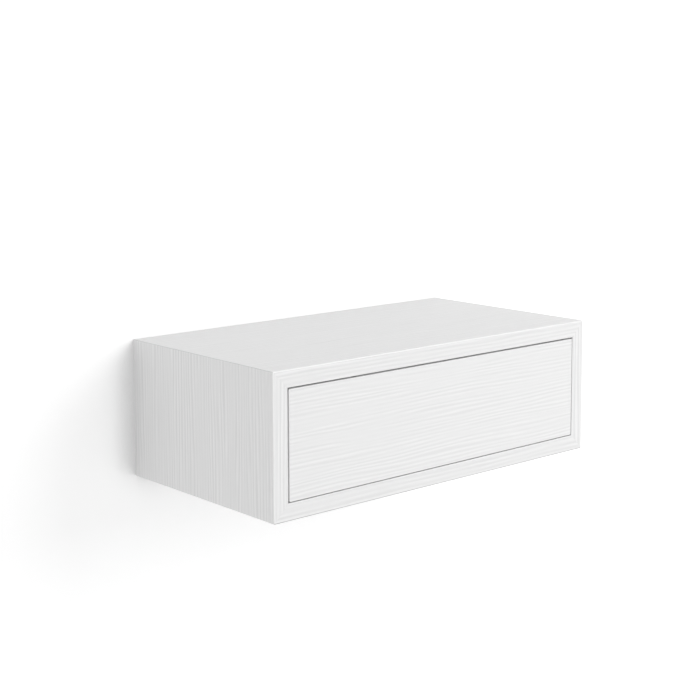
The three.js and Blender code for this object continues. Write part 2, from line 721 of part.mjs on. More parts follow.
function latchTip() {
  const socket = PLUNGER_STUB_DIAMETER / 2 + SEAT;
  const outer = TIP_DIAMETER / 2;
  const arc = new THREE.Path();
  arc.absarc(outer - TIP_ROUND, TIP_ROUND - TIP_LENGTH, TIP_ROUND, 0, -QUARTER_TURN, true);
  const rounded = arc.getPoints(ARC_STEPS).map((point) => [point.x, point.y]);
  const outwards = [
    [0, -PLUNGER_STUB_LENGTH - SEAT],
    [socket, -PLUNGER_STUB_LENGTH - SEAT],
    [socket, 0],
    [outer, 0],
    ...rounded,
    [0, -TIP_LENGTH],
  ];
  const place = [0, -PLUNGER_STANDOUT - SEAT, LATCH_AXIS_HEIGHT];
  return piece("latch_tip", revolve(outwards.reverse(), ROUND_STEPS), tipRubber(), place);
}

function pushLatch() {
  const group = new THREE.Group();
  group.position.set(0, LATCH_FRONT, -OPENING_HALF_HEIGHT);
  const [left, right] = latchScrewPlaces();
  group.add(latchHousing(), latchPlunger(), latchTip());
  group.add(screw("latch_screw_left", LATCH_SCREW, AXES.down, left));
  group.add(screw("latch_screw_right", LATCH_SCREW, AXES.down, right));
  return group;
}

// Drawer: its frame is in the middle of the front face of the drawer front

function boltForm(clearance) {
  const thread = BOLT_THREAD_DIAMETER / 2 + clearance;
  const neck = BOLT_NECK_DIAMETER / 2 + clearance;
  const head = BOLT_HEAD_DIAMETER / 2 + clearance;
  const headEnd = CAM_FROM_FRONT + clearance;
  const headStart = CAM_FROM_FRONT - BOLT_HEAD_LENGTH - clearance;
  const profile = [
    [0, -BOLT_THREAD_LENGTH - clearance],
    [thread, -BOLT_THREAD_LENGTH - clearance],
    [thread, clearance],
    [neck, clearance],
    [neck, headStart],
    [head, headStart],
    [head, headEnd],
    [0, headEnd],
  ];
  return revolve(profile, SCREW_STEPS);
}

function boltPlace(side, height) {
  const x = side * (DRAWER_HALF_WIDTH - DRAWER_SIDE_THICKNESS / 2);
  return [x, FRONT_THICKNESS, DRAWER_LOWER_EDGE + height];
}

function camForm(side, height, clearance) {
  const depth = CAM_DEPTH + clearance;
  const x = side * (DRAWER_INSIDE_HALF_WIDTH + depth / 2);
  const place = [x, FRONT_THICKNESS + CAM_FROM_FRONT, DRAWER_LOWER_EDGE + height];
  return barAt(AXES.right, CAM_DIAMETER / 2 + clearance, depth, place);
}

function camSlots(side, height) {
  const place = [
    side * DRAWER_INSIDE_HALF_WIDTH,
    FRONT_THICKNESS + CAM_FROM_FRONT,
    DRAWER_LOWER_EDGE + height,
  ];
  const depth = 2 * CAM_SLOT_DEPTH;
  return [
    boxAt([depth, CAM_SLOT_LENGTH, CAM_SLOT_WIDTH], place),
    boxAt([depth, CAM_SLOT_WIDTH, CAM_SLOT_LENGTH], place),
  ];
}

function camFitting(sideName, side, levelName, height) {
  const boltRoom = boltForm(FIT).translate(...boltPlace(side, height));
  const cam = cut(camForm(side, height, 0), [boltRoom, ...camSlots(side, height)]);
  return [
    piece(`front_cam_${sideName}_${levelName}`, cam, castZinc()),
    piece(`front_bolt_${sideName}_${levelName}`, boltForm(0), zincSteel(), boltPlace(side, height)),
  ];
}

// The bore for a bolt in the end of a side is as wide as the bolt's head.
function boltBore(side, height) {
  const [x, y, z] = boltPlace(side, height);
  const radius = BOLT_HEAD_DIAMETER / 2 + FIT;
  return barAt(AXES.rear, radius, 2 * CAM_FROM_FRONT, [x, y, z]);
}

function bottomWidth() {
  return 2 * (DRAWER_INSIDE_HALF_WIDTH + DRAWER_GROOVE_DEPTH - DRAWER_GROOVE_PLAY);
}

function frontGroove() {
  const height = DRAWER_BOTTOM_THICKNESS + 2 * DRAWER_GROOVE_PLAY;
  const depth = DRAWER_GROOVE_DEPTH + OVERRUN;
  const y = FRONT_THICKNESS - DRAWER_GROOVE_DEPTH + depth / 2;
  const z = DRAWER_LOWER_EDGE + DRAWER_BOTTOM_RISE + height / 2;
  return boxAt([bottomWidth() + 2 * FIT, depth, height], [0, y, z]);
}

function drawerFront() {
  const width = 2 * (OPENING_HALF_WIDTH - REVEAL);
  const height = 2 * (OPENING_HALF_HEIGHT - REVEAL);
  const shape = roundedRectangle(width, height, FRONT_CORNER_RADIUS);
  const blank = extrudeForward(shape, FRONT_THICKNESS, FRONT_ARRIS).translate(0, FRONT_THICKNESS, 0);
  const bolts = Object.values(SIDES).flatMap((side) =>
    Object.values(CAM_HEIGHTS).map((height) => boltForm(FIT).translate(...boltPlace(side, height))),
  );
  return piece("drawer_front", cut(blank, [frontGroove(), ...bolts]), whiteAshLaminate());
}

// Section of a drawer side: s runs from its outer face to its inner face, z up from its lower edge.
function drawerSideSection(side) {
  const radius = DRAWER_TOP_ROUND;
  const thickness = DRAWER_SIDE_THICKNESS;
  const grooveTop = DRAWER_BOTTOM_RISE + DRAWER_BOTTOM_THICKNESS + 2 * DRAWER_GROOVE_PLAY;
  const grooveBottom = thickness - DRAWER_GROOVE_DEPTH;
  const path = new THREE.Path();
  path.moveTo(0, 0);
  path.lineTo(thickness, 0);
  path.lineTo(thickness, DRAWER_BOTTOM_RISE);
  path.lineTo(grooveBottom, DRAWER_BOTTOM_RISE);
  path.lineTo(grooveBottom, grooveTop);
  path.lineTo(thickness, grooveTop);
  path.absarc(thickness - radius, DRAWER_SIDE_HEIGHT - radius, radius, 0, QUARTER_TURN);
  path.absarc(radius, DRAWER_SIDE_HEIGHT - radius, radius, QUARTER_TURN, Math.PI);
  const outline = path.getPoints(ARC_STEPS).map((point) => {
    const x = side * (DRAWER_HALF_WIDTH - point.x);
    return new THREE.Vector2(x, DRAWER_LOWER_EDGE + point.y);
  });
  return new THREE.Shape(outline);
}

function drawerScrewPlaces(side) {
  const y = DRAWER_REAR - DRAWER_BACK_THICKNESS / 2;
  return Object.fromEntries(
    Object.entries(DRAWER_SCREW_HEIGHTS).map(([levelName, height]) => {
      return [levelName, [side * DRAWER_HALF_WIDTH, y, DRAWER_LOWER_EDGE + height]];
    }),
  );
}

function drawerScrewRoom(side) {
  const inwards = AXES.right.clone().multiplyScalar(-side);
  return Object.values(drawerScrewPlaces(side)).map((place) => screwRoom(DRAWER_SCREW, inwards, place));
}

function drawerSide(name, side) {
  const blank = extrudeForward(drawerSideSection(side), DRAWER_SIDE_LENGTH).translate(0, DRAWER_REAR, 0);
  const fittings = Object.values(CAM_HEIGHTS).flatMap((height) => [
    camForm(side, height, FIT),
    boltBore(side, height),
  ]);
  const runnerScrews = drawerRunnerScrewPlaces(side).map(([x, y, z]) => {
    const place = [x + side * OPENING_HALF_WIDTH, y + RUNNER_REAR + CASE_DEPTH, z];
    return screwRoom(RUNNER_SCREW, AXES.right.clone().multiplyScalar(-side), place);
  });
  const cutters = [...fittings, ...runnerScrews, ...drawerScrewRoom(side)];
  return piece(name, cut(blank, cutters), whiteBoard());
}

function bottomScrewPlaces() {
  const x = DRAWER_INSIDE_HALF_WIDTH - BOTTOM_SCREW_FROM_SIDE;
  const y = DRAWER_REAR - DRAWER_BACK_THICKNESS / 2;
  return { left: [-x, y, DRAWER_BOTTOM_LOW], right: [x, y, DRAWER_BOTTOM_LOW] };
}

function bottomScrewRoom() {
  return Object.values(bottomScrewPlaces()).map((place) => screwRoom(BOTTOM_SCREW, AXES.up, place));
}

function drawerBack() {
  const radius = DRAWER_TOP_ROUND;
  const lower = DRAWER_BOTTOM_TOP + SEAT;
  const path = new THREE.Shape();
  path.moveTo(DRAWER_REAR - DRAWER_BACK_THICKNESS, lower);
  path.lineTo(DRAWER_REAR, lower);
  path.absarc(DRAWER_REAR - radius, DRAWER_UPPER_EDGE - radius, radius, 0, QUARTER_TURN);
  const innerRound = DRAWER_REAR - DRAWER_BACK_THICKNESS + radius;
  path.absarc(innerRound, DRAWER_UPPER_EDGE - radius, radius, QUARTER_TURN, Math.PI);
  path.closePath();
  const blank = extrudeAcross(path, 2 * (DRAWER_INSIDE_HALF_WIDTH - SEAT));
  const screws = [...drawerScrewRoom(SIDES.left), ...drawerScrewRoom(SIDES.right), ...bottomScrewRoom()];
  return piece("drawer_back", cut(blank, screws), whiteBoard());
}

function drawerBottom() {
  const front = FRONT_THICKNESS - DRAWER_GROOVE_DEPTH + DRAWER_GROOVE_PLAY;
  const length = DRAWER_REAR - front;
  const place = [0, front + length / 2, DRAWER_BOTTOM_LOW + DRAWER_BOTTOM_THICKNESS / 2];
  const blank = boxAt([bottomWidth(), length, DRAWER_BOTTOM_THICKNESS], place);
  return piece("drawer_bottom", cut(blank, bottomScrewRoom()), whiteHardboard());
}

function drawer() {
  const group = new THREE.Group();
  group.position.set(0, -CASE_DEPTH, 0);
  group.add(drawerFront(), drawerBack(), drawerBottom());
  for (const [sideName, side] of Object.entries(SIDES)) {
    group.add(drawerSide(`drawer_${sideName}_side`, side));
    for (const [levelName, height] of Object.entries(CAM_HEIGHTS)) {
      group.add(...camFitting(sideName, side, levelName, height));
    }
    const inwards = AXES.right.clone().multiplyScalar(-side);
    for (const [levelName, place] of Object.entries(drawerScrewPlaces(side))) {
      group.add(screw(`drawer_back_screw_${sideName}_${levelName}`, DRAWER_SCREW, inwards, place));
    }
  }
  for (const [sideName, place] of Object.entries(bottomScrewPlaces())) {
    group.add(screw(`drawer_bottom_screw_${sideName}`, BOTTOM_SCREW, AXES.up, place));
  }
  return group;
}

const group = new THREE.Group();
group.add(nightstandCase(), pushLatch(), drawer());
group.add(runner("left", SIDES.left), runner("right", SIDES.right));

export default group;
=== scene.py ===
"""A white wall-hung nightstand with one push-to-open drawer, dressed for rendering.

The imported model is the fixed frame. Its boards, screws, runners and latch get finer meshes
and procedural finishes here, in metres, in the same frame: the origin is the middle of the
rear face on the wall, +X is to the right, +Y goes into the wall and +Z is up.
"""

import json
import logging
import math
from dataclasses import dataclass, replace
from enum import Enum
from functools import cache
from typing import Optional, Sequence, Union

import bmesh
import bpy
from mathutils import Matrix, Quaternion, Vector

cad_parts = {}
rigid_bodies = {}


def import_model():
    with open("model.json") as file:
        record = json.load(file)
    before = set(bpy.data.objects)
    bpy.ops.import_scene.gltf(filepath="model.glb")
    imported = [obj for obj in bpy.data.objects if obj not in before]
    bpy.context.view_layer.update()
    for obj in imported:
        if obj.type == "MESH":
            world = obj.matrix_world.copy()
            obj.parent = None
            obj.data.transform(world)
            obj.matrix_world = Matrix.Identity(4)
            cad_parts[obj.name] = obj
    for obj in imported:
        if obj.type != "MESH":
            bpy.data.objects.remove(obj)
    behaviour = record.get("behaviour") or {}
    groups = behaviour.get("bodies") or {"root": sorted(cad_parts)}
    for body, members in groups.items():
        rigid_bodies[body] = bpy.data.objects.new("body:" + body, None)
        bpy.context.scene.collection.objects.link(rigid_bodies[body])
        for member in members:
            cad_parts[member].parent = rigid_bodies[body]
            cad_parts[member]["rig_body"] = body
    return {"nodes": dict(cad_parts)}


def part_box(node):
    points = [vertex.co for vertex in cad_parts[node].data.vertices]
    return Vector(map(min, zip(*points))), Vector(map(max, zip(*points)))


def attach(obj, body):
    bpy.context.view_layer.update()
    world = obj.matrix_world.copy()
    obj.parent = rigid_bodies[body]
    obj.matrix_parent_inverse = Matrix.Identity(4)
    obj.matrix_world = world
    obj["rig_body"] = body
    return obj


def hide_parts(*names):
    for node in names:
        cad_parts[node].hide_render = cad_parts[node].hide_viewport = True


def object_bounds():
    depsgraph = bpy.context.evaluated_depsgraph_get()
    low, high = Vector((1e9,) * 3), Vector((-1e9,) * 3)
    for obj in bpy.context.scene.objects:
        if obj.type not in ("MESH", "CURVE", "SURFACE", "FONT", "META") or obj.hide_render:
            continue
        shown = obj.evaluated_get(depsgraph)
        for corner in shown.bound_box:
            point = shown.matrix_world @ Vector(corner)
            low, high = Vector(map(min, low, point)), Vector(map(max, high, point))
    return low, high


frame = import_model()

MM = 0.001
CAD_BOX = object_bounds()
LOG = logging.getLogger("nightstand")

Point2 = tuple[float, float]
Point3 = tuple[float, float, float]
# What goes into a node: numbers, an sRGB hex colour, another node or one of its sockets.
Value = Union[float, Sequence[float], str, bpy.types.Node, bpy.types.NodeSocket]

NOISE_CORE = (0.35, 0.65)  # where most values of a noise lie
NOISE_SPAN = (0.3, 0.7)  # where nearly all of them lie
SMOOTH = {"interpolation_type": "SMOOTHSTEP"}  # maps a range without a kink or overshoot
MIX_LOW, MIX_HIGH, MIX_RESULT = 6, 7, 2  # sockets for colours, beside those for numbers
BOARD = 18 * MM  # thickness of the case's boards
BORE_STEPS = 24  # facets round a bore
RECESS_BAR = 0.125  # half the thickness of a cross recess's bar, of the cross's width
RECESS_RISE = 0.25  # how far its cutters stand out of the face, of its depth
RECESS_FOOT = 0.8  # thickness of a bar at the foot, of that at the mouth
RECESS_TAPER = 3  # how many times as long a bar is at the mouth as at the foot

# Degrees between two faces from which their edge stays sharp.
BOARD_CREASE = 40.0
SCREW_CREASE = 32.0
TURNED_CREASE = 30.0


class Side(Enum):
    """The two sides of the nightstand, with the sign of their X."""

    LEFT = -1
    RIGHT = 1

    @property
    def word(self) -> str:
        """The side's name in node names."""
        return self.name.lower()


class Grain(Enum):
    """The axis that the wood grain runs along, as an index into X, Y and Z."""

    ACROSS = 0
    DEEP = 1
    UPRIGHT = 2

    def stretch(self, along: float, across: float) -> Point3:
        """Puts a size along the grain on its axis and one across it on the other two."""
        return tuple(along if axis == self.value else across for axis in range(3))


# Colours and node trees


def linear_colour(srgb_hex: str) -> tuple[float, float, float, float]:
    """Turns an sRGB hex colour into the linear RGBA that a shader takes.

    Args:
        srgb_hex: A colour such as "#ececeb".

    Returns:
        Linear red, green and blue, with an alpha of 1.
    """
    channels = [int(srgb_hex[i : i + 2], 16) / 255 for i in (1, 3, 5)]
    linear = [c / 12.92 if c <= 0.04045 else ((c + 0.055) / 1.055) ** 2.4 for c in channels]
    return (*linear, 1.0)


@dataclass(frozen=True)
class Noise:
    """Noise whose features have a real size along each axis of the object.

    The offset moves the pattern, so that two boards don't show the same one.
    """

    feature: Point3
    detail: float = 2.0
    roughness: float = 0.5
    offset: float = 0.0


class NodeTree:
    """The node tree of a material or a world, with a method for each pattern drawn in it."""

    def __init__(self, owner: bpy.types.ID) -> None:
        """Takes a tree and empties it.

        Args:
            owner: The material or world that has it.
        """
        owner.use_nodes = True
        self.tree = owner.node_tree
        self.tree.nodes.clear()

    def add(
        self,
        kind: str,
        inputs: Union[Sequence[Value], dict[Union[int, str], Value]] = (),
        **settings: object,
    ) -> bpy.types.Node:
        """Adds one node, with its settings, its values and its links.

        Args:
            kind: The shader node's type, such as "Math".
            inputs: The inputs in order, or by name or index. A node links its first output.
            **settings: Attributes of the node itself, such as operation="MULTIPLY".

        Returns:
            The new node.
        """
        node = self.tree.nodes.new(f"ShaderNode{kind}")
        for name, value in settings.items():
            setattr(node, name, value)
        places = inputs if isinstance(inputs, dict) else dict(enumerate(inputs))
        for place, value in places.items():
            source = value.outputs[0] if isinstance(value, bpy.types.Node) else value
            if isinstance(source, bpy.types.NodeSocket):
                self.tree.links.new(source, node.inputs[place])
            else:
                plain = linear_colour(source) if isinstance(source, str) else source
                node.inputs[place].default_value = plain
        return node

    def noise(self, noise: Noise) -> bpy.types.Node:
        """Draws a noise.

        Args:
            noise: Its sizes.

        Returns:
            Its value, from 0 to 1 with its middle near 0.5.
        """
        place = {
            "Vector": self.add("TexCoord").outputs["Object"],
            "Location": (noise.offset,) * 3,
            "Scale": [1 / size for size in noise.feature],
        }
        pattern = {
            "Vector": self.add("Mapping", place),
            "Scale": 1.0,
            "Detail": noise.detail,
            "Roughness": noise.roughness,
        }
        return self.add("TexNoise", pattern)

    def paint(self, lowest: Value, *layers: tuple[Value, Value]) -> Value:
        """Lays tones over each other.

        Args:
            lowest: The colour under all of them.
            *layers: For each tone its cover, from 0 to 1, and its colour.

        Returns:
            The colour that shows.
        """
        colour = lowest
        for cover, tone in layers:
            inputs = {"Factor": cover, MIX_LOW: colour, MIX_HIGH: tone}
            colour = self.add("Mix", inputs, data_type="RGBA").outputs[MIX_RESULT]
        return colour

    def facing(self) -> tuple[bpy.types.NodeSocket, ...]:
        """The X, Y and Z of the surface's normal, in the object's own axes."""
        normal = self.add("TexCoord").outputs["Normal"]
        return tuple(self.add("SeparateXYZ", (normal,)).outputs)

    def surface(
        self, colour: Value, roughness: Value, height: Value, relief: float, **settings: float
    ) -> None:
        """Ends a material in one principled shader.

        Args:
            colour: The base colour.
            roughness: The roughness.
            height: The bump's height, from 0 to 1.
            relief: How far apart heights 0 and 1 are, in metres, or 0 for no bump.
            **settings: Other inputs of the shader.
        """
        inputs = {"Base Color": colour, "Roughness": roughness, **settings}
        if relief:
            inputs["Normal"] = self.add("Bump", {"Height": height, "Distance": relief})
        self.add("OutputMaterial", (self.add("BsdfPrincipled", inputs),))


# Finishes


class Finish:
    """A real material and how it was made, with a name for both."""

    name: str

    @cache
    def material(self) -> bpy.types.Material:
        """Makes the finish, once for all pieces that have it.

        Returns:
            The node material.
        """
        material = bpy.data.materials.new(self.name)
        self.build(NodeTree(material))
        return material

    def build(self, tree: NodeTree) -> None:
        """Adds the finish's nodes to an empty tree."""
        raise NotImplementedError


@dataclass(frozen=True)
class PressedAshLaminate(Finish):
    """White melamine laminate, pressed in a mould with the lines of ash.

    Long shallow ribs follow the grain a few millimetres apart, and fine pores lie between
    them. They shade themselves a little, so a plain white face shows faint even streaks and
    a satin sheen that breaks up along them; a darker colour in the hollows paints that shade.
    Hand wear has made the edges smoother, and the front edges that face the lamp get a
    painted highlight, lighter than the face.
    """

    grain: Grain
    offset: float = 0.0
    face: str = "#f3f3f3"
    # the hollows' colour is painted shade between the ribs and in the pores
    hollow: str = "#e7e7e7"
    # painted highlight on the front edges that face the lamp
    rubbed: str = "#fdfdfd"
    seam: str = "#cfcfcf"
    rib_spacing: float = 4.3 * MM
    rib_wander: float = 11 * MM
    rib_length: float = 200 * MM
    rib_drift: float = 16 * MM  # how far apart ribs swerve independently
    rib_fading: Point2 = (0.34, 0.66)
    fading_offset: float = 5.0  # so that ribs fade elsewhere than they swerve
    rib_strength: Point2 = (0.06, 0.56)  # where the ribs fade and where they are full
    pore_length: float = 24 * MM
    pore_width: float = 0.9 * MM  # real pores are about 0.2 mm wide, too fine to show
    pore_edge: Point2 = (0.36, 0.52)
    pore_height: Point2 = (0.72, 1.0)
    relief: float = 0.06 * MM
    gloss_range: Point2 = (0.2, 0.9)
    gloss: Point2 = (0.56, 0.42)  # roughness in the hollows and on the ribs
    rubbed_gloss: float = 0.32
    rubbed_lean: Point2 = (0.05, 0.32)  # the normal's lean where the rub and the painted highlight start and are full
    seam_lean: Point2 = (0.45, 0.66)

    @property
    def name(self) -> str:
        """The material's name, which tells its grain."""
        return f"pressed_ash_laminate_{self.grain.name.lower()}"

    def ribs(self, tree: NodeTree) -> bpy.types.Node:
        """Draws long waves across the grain, that swerve and fade here and there.

        Args:
            tree: The node tree to add to.

        Returns:
            1 on the ribs and 0 in the hollows between them.
        """
        across = (tree.add("TexCoord").outputs["Object"], self.grain.stretch(0.0, 1.0))
        level = tree.add("VectorMath", across, operation="DOT_PRODUCT").outputs["Value"]
        swerves = self.grain.stretch(self.rib_length, self.rib_drift)
        drift = tree.noise(Noise(swerves, offset=self.offset))
        moved = tree.add("Math", (drift, self.rib_wander, level), operation="MULTIPLY_ADD")
        turns = tree.add("Math", (moved, 2 * math.pi / self.rib_spacing), operation="MULTIPLY")
        waves = tree.add("Math", (turns,), operation="SINE")
        patches = self.grain.stretch(self.rib_length / 2, self.rib_spacing * 2)
        fade = tree.noise(Noise(patches, offset=self.offset + self.fading_offset))
        strength = tree.add("MapRange", (fade, *self.rib_fading, *self.rib_strength), **SMOOTH)
        return tree.add("Math", (waves, strength, 0.5), operation="MULTIPLY_ADD")

    def rubbed_edges(self, tree: NodeTree) -> bpy.types.Node:
        """Finds the rounded edges at the front that hands reach, which carry their wear and a painted
        highlight.

        Args:
            tree: The node tree to add to.

        Returns:
            1 in the middle of such an edge, 0 on flat faces and on edges underneath.
        """
        across, inwards, up = tree.facing()
        outwards = tree.add("Math", (inwards, -1.0), operation="MULTIPLY")
        either_side = tree.add("Math", (across,), operation="ABSOLUTE")
        reached = tree.add("Math", (either_side, up), operation="MAXIMUM")
        both = tree.add("Math", (reached, outwards), operation="MINIMUM")
        return tree.add("MapRange", (both, *self.rubbed_lean), **SMOOTH)

    def mitre_seam(self, tree: NodeTree) -> bpy.types.Node:
        """Finds the line where two boards meet at a corner.

        Args:
            tree: The node tree to add to.

        Returns:
            1 in the middle of the rounded corner and 0 on the boards' faces.
        """
        across, _, up = tree.facing()
        leans = [tree.add("Math", (value,), operation="ABSOLUTE") for value in (across, up)]
        both = tree.add("Math", leans, operation="MINIMUM")
        return tree.add("MapRange", (both, *self.seam_lean), **SMOOTH)

    def build(self, tree: NodeTree) -> None:
        """Builds the laminate for boards whose grain runs this way.

        Args:
            tree: The node tree to add to.
        """
        width = self.grain.stretch(self.pore_length, self.pore_width)
        pores = tree.noise(Noise(width, detail=3.0, roughness=0.55, offset=self.offset))
        closed = tree.add("MapRange", (pores, *self.pore_edge, *self.pore_height), **SMOOTH)
        height = tree.add("Math", (self.ribs(tree), closed), operation="MULTIPLY")
        edges, seam = self.rubbed_edges(tree), self.mitre_seam(tree)
        # The hollows' darker colour paints their shade, and the front edges' lighter colour paints a
        # highlight.
        colour = tree.paint(
            self.hollow, (height, self.face), (edges, self.rubbed), (seam, self.seam)
        )
        grained = tree.add("MapRange", (height, *self.gloss_range, *self.gloss), **SMOOTH)
        rubbed = {"Factor": edges, "A": grained, "B": self.rubbed_gloss}
        roughness = tree.add("Mix", rubbed, data_type="FLOAT")
        tree.surface(colour, roughness, height, self.relief, IOR=1.55)


@dataclass(frozen=True)
class PaintedHardboard(Finish):
    """Hardboard, painted white on its smooth side.

    Thin paint over pressed fibres: matt, with faint short fibres and a fine speckle.
    """

    name: str = "painted_hardboard"
    face: str = "#efefec"
    fibre: str = "#e3e2dd"
    fibre_length: float = 4 * MM
    fibre_width: float = 0.8 * MM  # real fibres are about 0.1 mm wide, too fine to show
    fibre_edge: Point2 = (1.02, 0.72)  # of the sum of two noises
    speckle: float = 1.1 * MM
    gloss: Point2 = (0.55, 0.7)
    relief: float = 0.03 * MM

    def build(self, tree: NodeTree) -> None:
        """Builds the painted board.

        Args:
            tree: The node tree to add to.
        """
        long, wide = self.fibre_length, self.fibre_width
        along = tree.noise(Noise((long, wide, long), detail=4.0, roughness=0.6))
        across = tree.noise(Noise((wide, long, long), detail=4.0, roughness=0.6, offset=3.0))
        grit = tree.noise(Noise((self.speckle,) * 3, detail=3.0, roughness=0.6, offset=6.0))
        lower = tree.add("Math", (along, across), operation="MINIMUM")
        both = tree.add("Math", (lower, grit), operation="ADD")
        fibres = tree.add("MapRange", (both, *self.fibre_edge), **SMOOTH)
        roughness = tree.add("MapRange", (fibres, 0.0, 1.0, *self.gloss), **SMOOTH)
        colour = tree.paint(self.face, (fibres, self.fibre))
        tree.surface(colour, roughness, fibres, self.relief, IOR=1.5)


class GlossFrom(Enum):
    """What the gloss of a two-tone finish follows, as its place in a list of three."""

    CLOUDS = 0
    TEXTURE = 1
    TONES = 2


@dataclass(frozen=True)
class TwoToneFinish(Finish):
    """A finish with clouds of a second close tone and a texture that gives it relief.

    Without a texture of its own the clouds are the texture.
    """

    name: str
    tones: tuple[str, str]
    clouds: Noise
    gloss: Point2  # roughness where the noise is low and where it is high
    texture: Optional[Noise] = None
    relief: float = 0.0
    tone_edge: Point2 = NOISE_CORE
    gloss_from: GlossFrom = GlossFrom.TEXTURE
    metal: bool = False
    ior: float = 1.5  # of what isn't metal

    def build(self, tree: NodeTree) -> None:
        """Builds the two tones, the gloss and the relief.

        Args:
            tree: The node tree to add to.
        """
        clouds = tree.noise(self.clouds)
        texture = tree.noise(self.texture) if self.texture else clouds
        share = tree.add("MapRange", (clouds, *self.tone_edge), **SMOOTH)
        drivers = ((clouds, *NOISE_SPAN), (texture, *NOISE_SPAN), (share, 0.0, 1.0))
        driver = drivers[self.gloss_from.value]
        roughness = tree.add("MapRange", (*driver, *self.gloss), **SMOOTH)
        optics = {"Metallic": 1.0} if self.metal else {"IOR": self.ior}
        colour = tree.paint(self.tones[0], (share, self.tones[1]))
        tree.surface(colour, roughness, texture, self.relief, **optics)


@dataclass(frozen=True)
class FoilWrappedBoard(TwoToneFinish):
    """White finish foil wrapped round fibreboard.

    The foil is smooth with a faint orange peel from the glue under it, so it shines more
    evenly than the laminate outside.
    """

    name: str = "foil_wrapped_board"
    tones: tuple[str, str] = ("#f1f0ef", "#efeeed")
    clouds: Noise = Noise((35 * MM,) * 3, detail=4.0)
    texture: Noise = Noise((2.5 * MM,) * 3)
    gloss: Point2 = (0.40, 0.43)
    gloss_from: GlossFrom = GlossFrom.CLOUDS
    relief: float = 0.02 * MM


@dataclass(frozen=True)
class PlanedWood(TwoToneFinish):
    """Bare hardwood, planed or turned and left unfinished.

    Matt, with darker lines of late growth along the grain.
    """

    tone_edge: Point2 = (0.40, 0.62)
    gloss: Point2 = (0.6, 0.75)
    gloss_from: GlossFrom = GlossFrom.TONES
    relief: float = 0.04 * MM


@dataclass(frozen=True)
class RolledZincSteel(TwoToneFinish):
    """Cold-rolled steel strip with bright zinc plating.

    Rolling leaves long fine lines and plating a cloudy bluish bloom, so reflections are
    drawn out across the lines.
    """

    name: str = "rolled_zinc_steel"
    tones: tuple[str, str] = ("#c8cbce", "#bdc1c6")
    clouds: Noise = Noise((14 * MM, 25 * MM, 14 * MM), detail=3.0)
    # Real lines are about 0.05 mm apart, too fine to show.
    texture: Noise = Noise((0.8 * MM, 30 * MM, 0.8 * MM), detail=3.0)
    gloss: Point2 = (0.22, 0.38)
    relief: float = 0.006 * MM
    metal: bool = True


@dataclass(frozen=True)
class PlatedScrewSteel(TwoToneFinish):
    """Cold-headed steel with thin zinc plating.

    Tumbled in a barrel, so it has no direction: bright edges and a finely dented sheen.
    """

    name: str = "plated_screw_steel"
    tones: tuple[str, str] = ("#c3c6c8", "#a2a6ab")
    clouds: Noise = Noise((0.9 * MM,) * 3, detail=3.0)
    gloss: Point2 = (0.28, 0.42)
    relief: float = 0.015 * MM
    metal: bool = True


@dataclass(frozen=True)
class DieCastZinc(TwoToneFinish):
    """Zinc alloy, cast under pressure and tumbled.

    Greyer than plating, with a fine grainy skin.
    """

    name: str = "die_cast_zinc"
    tones: tuple[str, str] = ("#b0b2b4", "#a0a2a5")
    clouds: Noise = Noise((0.7 * MM,) * 3, detail=4.0, roughness=0.65)
    tone_edge: Point2 = (0.4, 0.62)
    gloss: Point2 = (0.38, 0.55)
    relief: float = 0.03 * MM
    metal: bool = True


@dataclass(frozen=True)
class PolishedBallSteel(TwoToneFinish):
    """Chrome steel balls, ground and polished, with a thin film of grease.

    Nearly a mirror, with soft smears where the grease lies.
    """

    name: str = "polished_ball_steel"
    tones: tuple[str, str] = ("#cfd1d3", "#b9bbb8")
    clouds: Noise = Noise((2 * MM,) * 3)
    tone_edge: Point2 = (0.45, 0.65)
    gloss: Point2 = (0.06, 0.22)
    gloss_from: GlossFrom = GlossFrom.TONES
    metal: bool = True


@dataclass(frozen=True)
class MouldedPlastic(TwoToneFinish):
    """Injection-moulded plastic with a spark-eroded mould texture.

    An even fine grain that softens the highlight, and a slight change of gloss where the
    plastic flowed.
    """

    clouds: Noise = Noise((9 * MM,) * 3)
    gloss: Point2 = (0.38, 0.5)
    texture: Noise = Noise((0.5 * MM,) * 3)  # real spark erosion is 0.05 mm, too fine to show
    gloss_from: GlossFrom = GlossFrom.CLOUDS
    relief: float = 0.012 * MM


